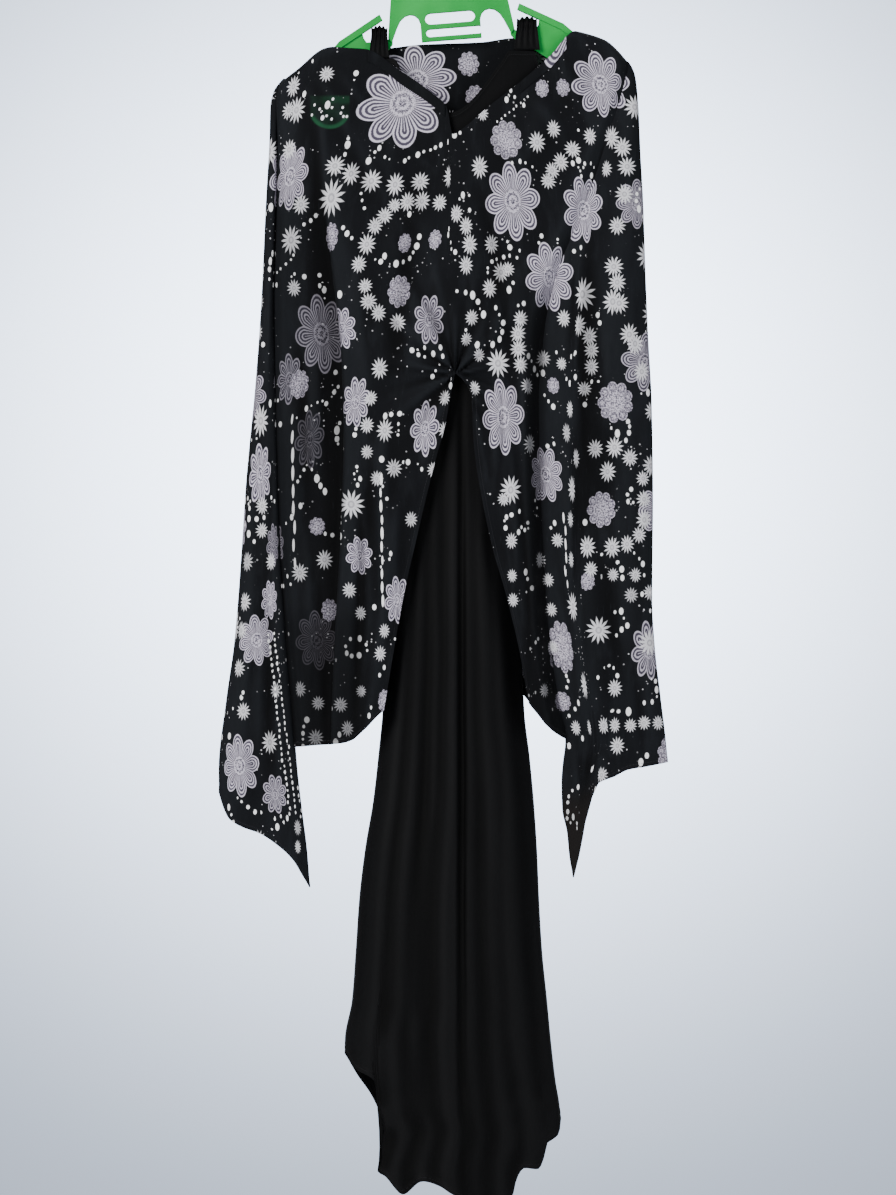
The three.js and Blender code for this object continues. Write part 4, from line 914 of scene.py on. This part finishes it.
def veil_and_shade(name, x, drop):
    """How far the print is dimmed and the cloth darkened, where the cloth lies back in a fold, and how sheer
    the cloth is. The darkening in the recesses is painted shade together with the fainter layer lying back
    there, and the sheer tail is darkened too.
    """
    faint_layer_and_shade, sheer = 0 * x, 0 * x
    if name == "front_cloth":
        off = x - read(LEFT_FOLD, drop, "x", "drop")
        # painted shade along the left fold's recess, darkest just under the fold's edge, and in the lower
        # recesses
        faint_layer_and_shade = (0.45 + 0.4 * np.exp(-((off + 7) / 12) ** 2)) * smooth(4, -1, off) * smooth(290, 430, drop)
        faint_layer_and_shade = np.maximum(faint_layer_and_shade, 0.9 * smooth(-92, -112, x) * smooth(800, 880, drop))
        faint_layer_and_shade = np.maximum(faint_layer_and_shade, 0.9 * smooth(82, 92, x) * smooth(430, 520, drop))
    elif name == "sleeve_right_cloth":
        # painted shade on the inner side of the right sleeve
        faint_layer_and_shade = 0.8 * smooth(118, 108, x) * smooth(430, 520, drop)
        sheer = smooth(1050, 1090, drop)
        faint_layer_and_shade = np.maximum(faint_layer_and_shade, 0.6 * sheer)
    return faint_layer_and_shade, sheer


def print_cloth(cloth, layouts):
    for name in ("flower", "rosette", "daisy", "dot"):
        place_motifs(cloth, layouts, name)
    shares = veil_and_shade(cloth.name, cloth.points[..., 0].ravel(), -cloth.points[..., 2].ravel())
    cloth.add_uv("veil_and_shade", np.stack(shares, axis=1)[cloth.places])


# ---- materials ----------------------------------------------------------------

BLACK_GEORGETTE = (0.0030, 0.0033, 0.0042)
# painted light on the georgette's folds and crests, then painted shade in its hollows and recesses
CLOTH_PAINTED_LIGHT = (0.0105, 0.0120, 0.0145)
CLOTH_SHADOW = (0.0006, 0.0006, 0.0008)
CLOTH_SLUB = (0.018, 0.020, 0.025)
CLOTH_SHEER = (0.0085, 0.0072, 0.0068)
CLOTH_THREAD = (0.035, 0.036, 0.040)
INK_LIGHT = (0.54, 0.50, 0.58)
INK_BAND = (0.060, 0.052, 0.075)
INK_DAISY = (0.66, 0.65, 0.67)
INK_DOT = (0.90, 0.89, 0.89)
BLACK_CREPE = (0.0013, 0.0013, 0.0015)
# painted light on the crepe's crests, then painted shade in its hollows
CREPE_PAINTED_LIGHT = (0.0046, 0.0046, 0.0050)
CREPE_SHADOW = (0.0003, 0.0003, 0.0003)
CREPE_THREAD = (0.02, 0.02, 0.022)
GREEN = (0.001, 0.27, 0.035)
GREEN_SCUFF = (0.10, 0.50, 0.20)
STITCH_PITCH, STITCH_WIDE = 0.0028, 0.0007
GLIMPSE = (0.012, 0.085, 0.035)
GLIMPSE_X, GLIMPSE_DROP, GLIMPSE_WIDE, GLIMPSE_TALL = -145, 250, 24, 21
FADE = 0.28                 # share of its ink that a motif loses with each step of "dim"
PETAL_BASE, PETAL_HALF = 0.62, 0.262   # where a flower's petal is widest, and half its width there


class Value:
    """A number in a node graph. Arithmetic with it adds math nodes."""

    def __init__(self, shader, socket):
        self.shader, self.socket = shader, socket

    def __add__(self, other):
        return self.shader.math("ADD", self, other)

    def __sub__(self, other):
        return self.shader.math("SUBTRACT", self, other)

    def __rsub__(self, other):
        return self.shader.math("SUBTRACT", other, self)

    def __mul__(self, other):
        return self.shader.math("MULTIPLY", self, other)

    def __truediv__(self, other):
        return self.shader.math("DIVIDE", self, other)

    def __abs__(self):
        return self.shader.math("ABSOLUTE", self)


class Shader:
    """The node graph of a material or a world, written as expressions."""

    def __init__(self, block):
        self.block = block
        block.use_nodes = True
        self.tree = block.node_tree

    def node(self, kind, inputs=(), **settings):
        made = self.tree.nodes.new(kind)
        for key, value in settings.items():
            setattr(made, key, value)
        for key, value in dict(inputs).items():
            self.put(value, made.inputs[key])
        return made

    def put(self, value, socket):
        value = value.socket if isinstance(value, Value) else value
        if isinstance(value, bpy.types.NodeSocket):
            self.tree.links.new(value, socket)
        elif isinstance(value, tuple) and len(value) == 3 and socket.type == "RGBA":
            socket.default_value = (*value, 1)
        else:
            socket.default_value = value

    def value(self, kind, inputs=(), **settings):
        """The first output of a new node."""
        return Value(self, self.node(kind, inputs, **settings).outputs[0])

    def math(self, operation, *values, clamp=False):
        return self.value("ShaderNodeMath", enumerate(values), operation=operation, use_clamp=clamp)

    def step(self, value, start, end):
        """0 before start and 1 after end, or the other way round where end is lower."""
        low, high, first, last = (start, end, 0, 1) if start < end else (end, start, 1, 0)
        keys = {"Value": value, "From Min": low, "From Max": high, "To Min": first, "To Max": last}
        return self.value("ShaderNodeMapRange", keys, interpolation_type="SMOOTHSTEP")

    def mix(self, share, a, b):
        made = self.node("ShaderNodeMix", data_type="RGBA")
        for value, key in ((share, 0), (a, 6), (b, 7)):
            self.put(value, made.inputs[key])
        return Value(self, made.outputs[2])

    def uv(self, layer):
        return self.value("ShaderNodeUVMap", uv_map=layer)

    def split(self, vector):
        return [Value(self, part) for part in self.node("ShaderNodeSeparateXYZ", {0: vector}).outputs]

    def scaled(self, vector, across, down):
        return self.value("ShaderNodeVectorMath", {0: vector, 1: (across, down, 1)}, operation="MULTIPLY")

    def noise(self, vector, scale, detail=2.0, roughness=0.5):
        keys = {"Vector": vector, "Scale": scale, "Detail": detail, "Roughness": roughness}
        return self.value("ShaderNodeTexNoise", keys)

    def finish(self, color, roughness, height, bump, **constants):
        relief = self.value("ShaderNodeBump", {"Height": height, "Strength": bump, "Distance": 0.001})
        values = {"Base Color": color, "Roughness": roughness, "Normal": relief}
        values.update((key.replace("_", " "), value) for key, value in constants.items())
        for key, value in values.items():
            self.put(value, self.tree.nodes["Principled BSDF"].inputs[key])
        return self.block


def material(name):
    return Shader(bpy.data.materials.new(name))


def times(color, share, more=0):
    return tuple(min(1, c * share + more) for c in color)


def hypot(s, a, b):
    return s.math("SQRT", a * a + b * b)


class Motif:
    """One class of motif: its polar coordinates and how far it is faded."""

    def __init__(self, s, layer):
        u, v, _ = s.split(s.uv(layer))
        tone, self.small = s.math("ROUND", u / TONE_STEP), s.math("ROUND", v / TONE_STEP)
        u, v = u - tone * TONE_STEP, v - self.small * TONE_STEP
        self.shader, self.strength = s, 1 - tone * FADE
        self.radius, self.angle = hypot(s, u, v), s.math("ARCTAN2", v, u)

    def petal(self, count):
        """Coordinates along and across the nearest of so many petals."""
        s, share = self.shader, 2 * math.pi / count
        off = self.angle - s.math("ROUND", self.angle / share) * share
        return self.radius * s.math("COSINE", off), abs(self.radius * s.math("SINE", off))


def flower_ink(s, grain):
    """Eight long petals, each with nested arcs, round a mottled middle."""
    motif = Motif(s, "flower")
    along, across = motif.petal(8)
    outward = s.math("MAXIMUM", along - PETAL_BASE, 0) / (1 - PETAL_BASE)
    narrowing = s.math("POWER", s.math("DIVIDE", along, PETAL_BASE, clamp=True), 0.95)
    reach = hypot(s, outward, across / s.math("MAXIMUM", narrowing * PETAL_HALF, 0.02))
    cycle = s.math("FRACT", reach * (3.1 - motif.small) + (grain - 0.5) * 0.35)
    arcs = s.step(abs(cycle - 0.40), 0.19, 0.35)
    ring = s.math("FRACT", motif.radius * 7 + grain * 2.4)
    rings = s.step(abs(ring - 0.5), 0.12, 0.32)
    middle = s.step(motif.radius, 0.36, 0.26)
    light = (arcs * (1 - middle) + rings * middle) * s.step(grain, 0.10, 0.42)
    mask = s.math("MAXIMUM", s.step(reach, 1.03, 0.97), s.step(motif.radius, 0.36, 0.32))
    return s.mix(light, INK_BAND, INK_LIGHT), mask * motif.strength


def rosette_ink(s, grain):
    """Nine round lobes with a ring in each, mottled all over."""
    motif = Motif(s, "rosette")
    along, across = motif.petal(9)
    lobe = hypot(s, along - 0.72, across)
    mask = s.math("MAXIMUM", s.step(lobe, 0.29, 0.25), s.step(motif.radius, 0.74, 0.70))
    ring = s.step(abs(lobe - 0.17), 0.02, 0.07)
    light = s.step(grain, 0.36, 0.60) * (ring * 0.6 + 0.4)
    return s.mix(light, INK_BAND, INK_LIGHT), mask * motif.strength


def daisy_ink(s, grain):
    """Thirteen narrow pointed petals round a small ringed heart."""
    motif = Motif(s, "daisy")
    along, across = motif.petal(13)
    width = s.math("MINIMUM", (1.04 - along) * 0.30, 0.09)
    petals = s.step(across - width, 0.03, -0.03)
    mask = s.math("MAXIMUM", petals, s.step(motif.radius, 0.40, 0.30))
    heart = s.step(abs(motif.radius - 0.20), 0.03, 0.10)
    veins = s.step(across, 0.0, 0.05)
    light = (heart * 0.45 + 0.55) * s.step(grain, 0.05, 0.45) * (veins * 0.2 + 0.8)
    return s.mix(light, INK_BAND, INK_DAISY), mask * motif.strength


def dot_ink(s, grain):
    motif = Motif(s, "dot")
    color = s.mix(s.step(grain, 0.1, 0.5), INK_DAISY, INK_DOT)
    return color, s.step(motif.radius, 1.1, 0.9) * motif.strength


def speckles(s, flat):
    """Tiny printed points between the motifs, in loose clouds."""
    keys = {"Vector": flat, "Scale": 170.0, "Randomness": 1.0}
    spots = s.node("ShaderNodeTexVoronoi", keys, feature="F1")
    size = s.split(spots.outputs["Color"])[0] * 0.2
    point = s.step(s.math("SUBTRACT", spots.outputs["Distance"], size), 0.04, -0.02)
    return point * s.step(s.noise(flat, 22.0, 1.0), 0.52, 0.60) * 0.75


def stitches(s):
    """How much of a point lies on the row of stitches along a turned edge."""
    along, reach, _ = s.split(s.uv("edge"))
    off = abs(reach - (HEM_WIDTH - STITCH_IN) * MM)
    beat = s.math("FRACT", along / STITCH_PITCH)
    return s.step(off, STITCH_WIDE * 0.6, STITCH_WIDE * 0.3) * s.step(abs(beat - 0.5), 0.36, 0.30)


def hanger_glimpse(s):
    """Where the left arm of the hanger lies against the sheer front and shows through."""
    across, depth, height = s.split(s.node("ShaderNodeTexCoord").outputs["Object"])
    off = (across - GLIMPSE_X * MM) / (GLIMPSE_WIDE * MM)
    low = (-GLIMPSE_DROP * MM - height) / (GLIMPSE_TALL * MM)
    reach = hypot(s, off, s.math("MAXIMUM", low, 0))
    inside = s.step(reach, 1.04, 0.92) * s.step(low, -1.0, -0.8) * s.math("LESS_THAN", depth, 0)
    lip = s.step(reach, 0.68, 0.88) * s.step(low, 0.05, 0.5)
    top = s.step(low, -0.35, -0.6) * s.step(off, -0.6, 0.2)
    speck = s.step(s.noise(s.uv("flat"), 90.0, 2.0), 0.3, 0.7)
    lit = speck * 0.08 + (lip * 0.50 + top * 0.18) + 0.04
    return s.math("MULTIPLY", inside, lit, clamp=True)


def georgette(name, printed=True):
    """Matt black crepe-twisted georgette, with the print where it has one, and painted light and shade on its
    folds.
    """
    s = material(name)
    flat = s.uv("flat")
    weave = s.noise(s.scaled(flat, 1, 0.6), 1100.0, 3.0, 0.6)
    cloud = s.noise(flat, 9.0, 3.0)
    fold = s.noise(s.scaled(flat, 1, 0.3), 42.0, 3.0, 0.6)
    slub = s.noise(s.scaled(flat, 1, 0.12), 420.0, 2.0)
    hollow, crest, _ = s.split(s.uv("relief"))
    # painted light and shade: broad lighter patches and vertical streaks stand in for soft light across the
    # folds, and crests are painted lighter
    color = s.mix(s.step(cloud, 0.3, 0.75) * 0.5, BLACK_GEORGETTE, times(BLACK_GEORGETTE, 2.1))
    color = s.mix(s.step(fold, 0.48, 0.72) * 0.5, color, CLOTH_PAINTED_LIGHT)
    color = s.mix(crest * 0.55, color, CLOTH_PAINTED_LIGHT)
    # painted shade in the hollows of the folds
    color = s.mix(hollow * 0.8, color, CLOTH_SHADOW)
    color = s.mix(s.step(slub, 0.62, 0.8) * 0.25, color, CLOTH_SLUB)
    if printed:
        grain = s.noise(flat, 520.0, 2.0, 0.6)
        faint_layer_and_shade, sheer, _ = s.split(s.uv("veil_and_shade"))
        # painted shade where the cloth lies back in a recess, together with the fainter layer seen there
        color = s.mix(faint_layer_and_shade * 0.6, color, CLOTH_SHADOW)
        color = s.mix(sheer, color, CLOTH_SHEER)
        color = s.mix(hanger_glimpse(s), color, GLIMPSE)
        # the print is dimmed by the painted shade in recesses and hollows
        shown = 1 - s.math("MAXIMUM", faint_layer_and_shade * 0.82, hollow * 0.55)
        color = s.mix(speckles(s, flat) * shown, color, INK_DAISY)
        for ink in (flower_ink, rosette_ink, daisy_ink, dot_ink):
            tint, mask = ink(s, grain)
            color = s.mix(mask * shown, color, tint)
    sewn = stitches(s)
    color = s.mix(sewn * 0.5, color, CLOTH_THREAD)
    return s.finish(color, cloud * 0.16 + 0.72, weave * 0.22 + sewn * 0.35, 0.8,
                    Sheen_Weight=0.015, Sheen_Roughness=0.45, Specular_IOR_Level=0.08)


def crepe():
    """The under-dress: fine plain crepe with a soft sheen, faint lighter vertical streaks, and painted light
    and shade on its folds.
    """
    s = material("black_crepe")
    flat = s.uv("flat")
    weave = s.noise(s.scaled(flat, 1, 0.45), 1500.0, 2.0, 0.6)
    streak = s.noise(s.scaled(flat, 1, 0.05), 160.0, 3.0, 0.6)
    cloud = s.noise(flat, 7.0, 2.0)
    hollow, crest, _ = s.split(s.uv("relief"))
    color = s.mix(s.step(streak, 0.35, 0.8) * 0.5, BLACK_CREPE, times(BLACK_CREPE, 1.9))
    # painted highlight on the crests of the folds, then painted shade in their hollows
    color = s.mix(crest * 0.9, color, CREPE_PAINTED_LIGHT)
    color = s.mix(hollow * 0.9, color, CREPE_SHADOW)
    sewn = stitches(s)
    color = s.mix(sewn * 0.5, color, CREPE_THREAD)
    height = weave * 0.14 + streak * 0.12 + sewn * 0.3
    return s.finish(color, cloud * 0.14 + 0.56, height, 0.7,
                    Sheen_Weight=0.01, Sheen_Roughness=0.4, Specular_IOR_Level=0.07)


def plastic():
    """Moulded green plastic with faint flow marks and scuffs."""
    s = material("green_plastic")
    place = s.node("ShaderNodeTexCoord").outputs["Object"]
    flow = s.noise(s.scaled(place, 1, 3), 14.0, 3.0)
    scuff = s.noise(place, 900.0, 3.0, 0.7)
    color = s.mix(s.step(flow, 0.35, 0.7), GREEN, times(GREEN, 1.25, 0.01))
    color = s.mix(s.step(scuff, 0.66, 0.78) * 0.12, color, GREEN_SCUFF)
    return s.finish(color, scuff * 0.2 + 0.34, scuff, 0.12, Specular_IOR_Level=0.2)


# ---- pieces --------------------------------------------------------------------

def dressed(cloth, node, stuff):
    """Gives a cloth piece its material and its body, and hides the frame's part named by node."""
    cloth.object.data.materials.append(stuff)
    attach(cloth.object, "root")
    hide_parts(node)


def outer_layer():
    """The printed layer: front, back, two sleeves and the turned neck edge."""
    cloth = georgette("printed_georgette")
    plain = georgette("plain_georgette", printed=False)
    seen, behind = (front_print(), -1), (back_print(), 1)
    sleeves = {side: sleeve_points(side, around) for side, around in (("left", 72), ("right", 96))}
    back = back_points()
    pieces = {
        "front": (front_cloth(), [seen]),
        "back": (Cloth("back_cloth", back, edge_reach(back, bottom=True), facing=-1), [behind]),
    }
    for side, points in sleeves.items():
        sleeve = Cloth(f"sleeve_{side}_cloth", points, edge_reach(points, bottom=True), wrapped=True)
        pieces[f"sleeve_{side}"] = (sleeve, [seen, (sleeve_back_print(*SLEEVE_BACKS[side]), 1)])
    for node, (piece, layouts) in pieces.items():
        print_cloth(piece.build(), layouts)
        piece.weld()
        dressed(piece, node, cloth)
    for side, from_x, to_x, stuff in (("left", -100, -7, plain), ("right", 84, 138, cloth)):
        node = f"neck_band_{side}"
        band = Cloth(f"{node}_cloth", band_points(side, from_x, to_x)).build()
        if stuff is cloth:
            print_cloth(band, [(neck_print(), -1)])
        dressed(band, node, stuff)
        pieces[node] = (band, [])
    return {node: piece for node, (piece, _) in pieces.items()}


def under_dress():
    """The plain long dress below, with its gathered straps."""
    cloth = crepe()
    pieces = {}
    for facing, name in ((-1, "dress_front"), (1, "dress_back")):
        points = dress_points(facing)
        reach = edge_reach(points, bottom=True, top=True)
        pieces[name] = Cloth(f"{name}_cloth", points, reach, facing=-facing)
    for name, *sizes in zip(("strap_left", "strap_right"), *STRAPS.values()):
        pieces[name] = Cloth(f"{name}_cloth", strap_points(*sizes))
    for name, piece in pieces.items():
        dressed(piece.build(), name, cloth)
    return pieces


def hanger():
    """The frame's hanger with its moulded edges rounded off."""
    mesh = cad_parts["hanger"].data.copy()
    mesh.name = "hanger_moulding"
    shape = bmesh.new()
    shape.from_mesh(mesh)
    bmesh.ops.remove_doubles(shape, verts=shape.verts, dist=WELD)
    bmesh.ops.dissolve_limit(shape, angle_limit=math.radians(1.5), verts=shape.verts, edges=shape.edges)
    shape.to_mesh(mesh)
    shape.free()
    mesh.materials.clear()
    mesh.materials.append(plastic())
    made = bpy.data.objects.new("hanger_moulding", mesh)
    bpy.context.scene.collection.objects.link(made)
    bevel = made.modifiers.new("rounded_edges", "BEVEL")
    bevel.width, bevel.segments, bevel.limit_method = HANGER_ROUND * MM, 3, "ANGLE"
    bevel.angle_limit = math.radians(38)
    bevel.use_clamp_overlap = True
    mesh.shade_smooth()
    made.modifiers.new("flat_faces", "WEIGHTED_NORMAL").keep_sharp = True
    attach(made, "root")
    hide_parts("hanger")


# ---- room, light and camera -----------------------------------------------------

VIEW_X, VIEW_DROP, VIEW_TALL, VIEW_AWAY = -3.6, 831, 1434, 6000
SENSOR = 36
FLOOR_DROP = 2150           # it hangs from a hook well clear of the floor
FLOOR_RADIUS = 3.4
SKY = (5.6, 6.4, 7.8)           # as the backdrop shows
SKY_CORNER = (0.50, 0.58, 0.72)
SKY_LIGHT = (0.20, 0.212, 0.23) # as it lights the room
SKY_WIDE, SKY_TALL, SKY_MIDDLE = 0.10, 0.092, 0.035   # the brighter part, as parts of a direction


def camera():
    data = bpy.data.cameras.new("camera")
    data.sensor_width = SENSOR
    data.lens = SENSOR * VIEW_AWAY / VIEW_TALL
    made = bpy.data.objects.new("camera", data)
    made.location = Vector((VIEW_X, -VIEW_AWAY, -VIEW_DROP)) * MM
    made.rotation_euler = (math.pi / 2, 0, 0)
    bpy.context.scene.collection.objects.link(made)
    bpy.context.scene.camera = made


def lamp(name, place, size, power, color=(1, 1, 1)):
    """A soft rectangular light that faces the middle of the garment."""
    data = bpy.data.lights.new(name, "AREA")
    data.shape, data.size, data.energy, data.color = "SQUARE", size, power, color
    made = bpy.data.objects.new(name, data)
    made.location = place
    aim = Vector((0, 0, -VIEW_DROP * MM)) - made.location
    made.rotation_euler = aim.to_track_quat("-Z", "Y").to_euler()
    bpy.context.scene.collection.objects.link(made)


def studio():
    """A pale floor, a pale backdrop that darkens a little outwards, and soft light."""
    bpy.ops.mesh.primitive_circle_add(vertices=96, radius=FLOOR_RADIUS, fill_type="NGON",
                                      location=(0, 0, -FLOOR_DROP * MM))
    floor = bpy.context.object
    floor.name = "floor"
    s = material("pale_floor")
    place = s.node("ShaderNodeTexCoord").outputs["Object"]
    color = s.mix(s.noise(place, 3.0), (0.70, 0.72, 0.75), (0.74, 0.76, 0.79))
    floor.data.materials.append(s.finish(color, 0.8, s.noise(place, 60.0), 0.02))
    world = bpy.data.worlds.new("studio")
    bpy.context.scene.world = world
    s = Shader(world)
    across, _, up = s.split(s.node("ShaderNodeTexCoord").outputs["Generated"])
    across, up = across / SKY_WIDE, (up - SKY_MIDDLE) / SKY_TALL
    outwards = 1 - s.math("POWER", math.e, (across * across + up * up) * -1)
    seen = s.mix(outwards, SKY, SKY_CORNER)
    by_camera = s.node("ShaderNodeLightPath").outputs["Is Camera Ray"]
    background = s.tree.nodes["Background"].inputs
    s.put(s.mix(by_camera, SKY_LIGHT, seen), background["Color"])
    s.put(1.0, background["Strength"])
    lamp("key", (-2.2, -3.4, 1.0), 1.8, 250)
    lamp("fill", (2.8, -2.8, -0.2), 2.4, 75, (0.95, 0.97, 1))
    lamp("rim", (0.4, 2.8, 1.2), 2.4, 90)


# ---- the whole -----------------------------------------------------------------

camera()
studio()
pieces = {**outer_layer(), **under_dress()}
hanger()
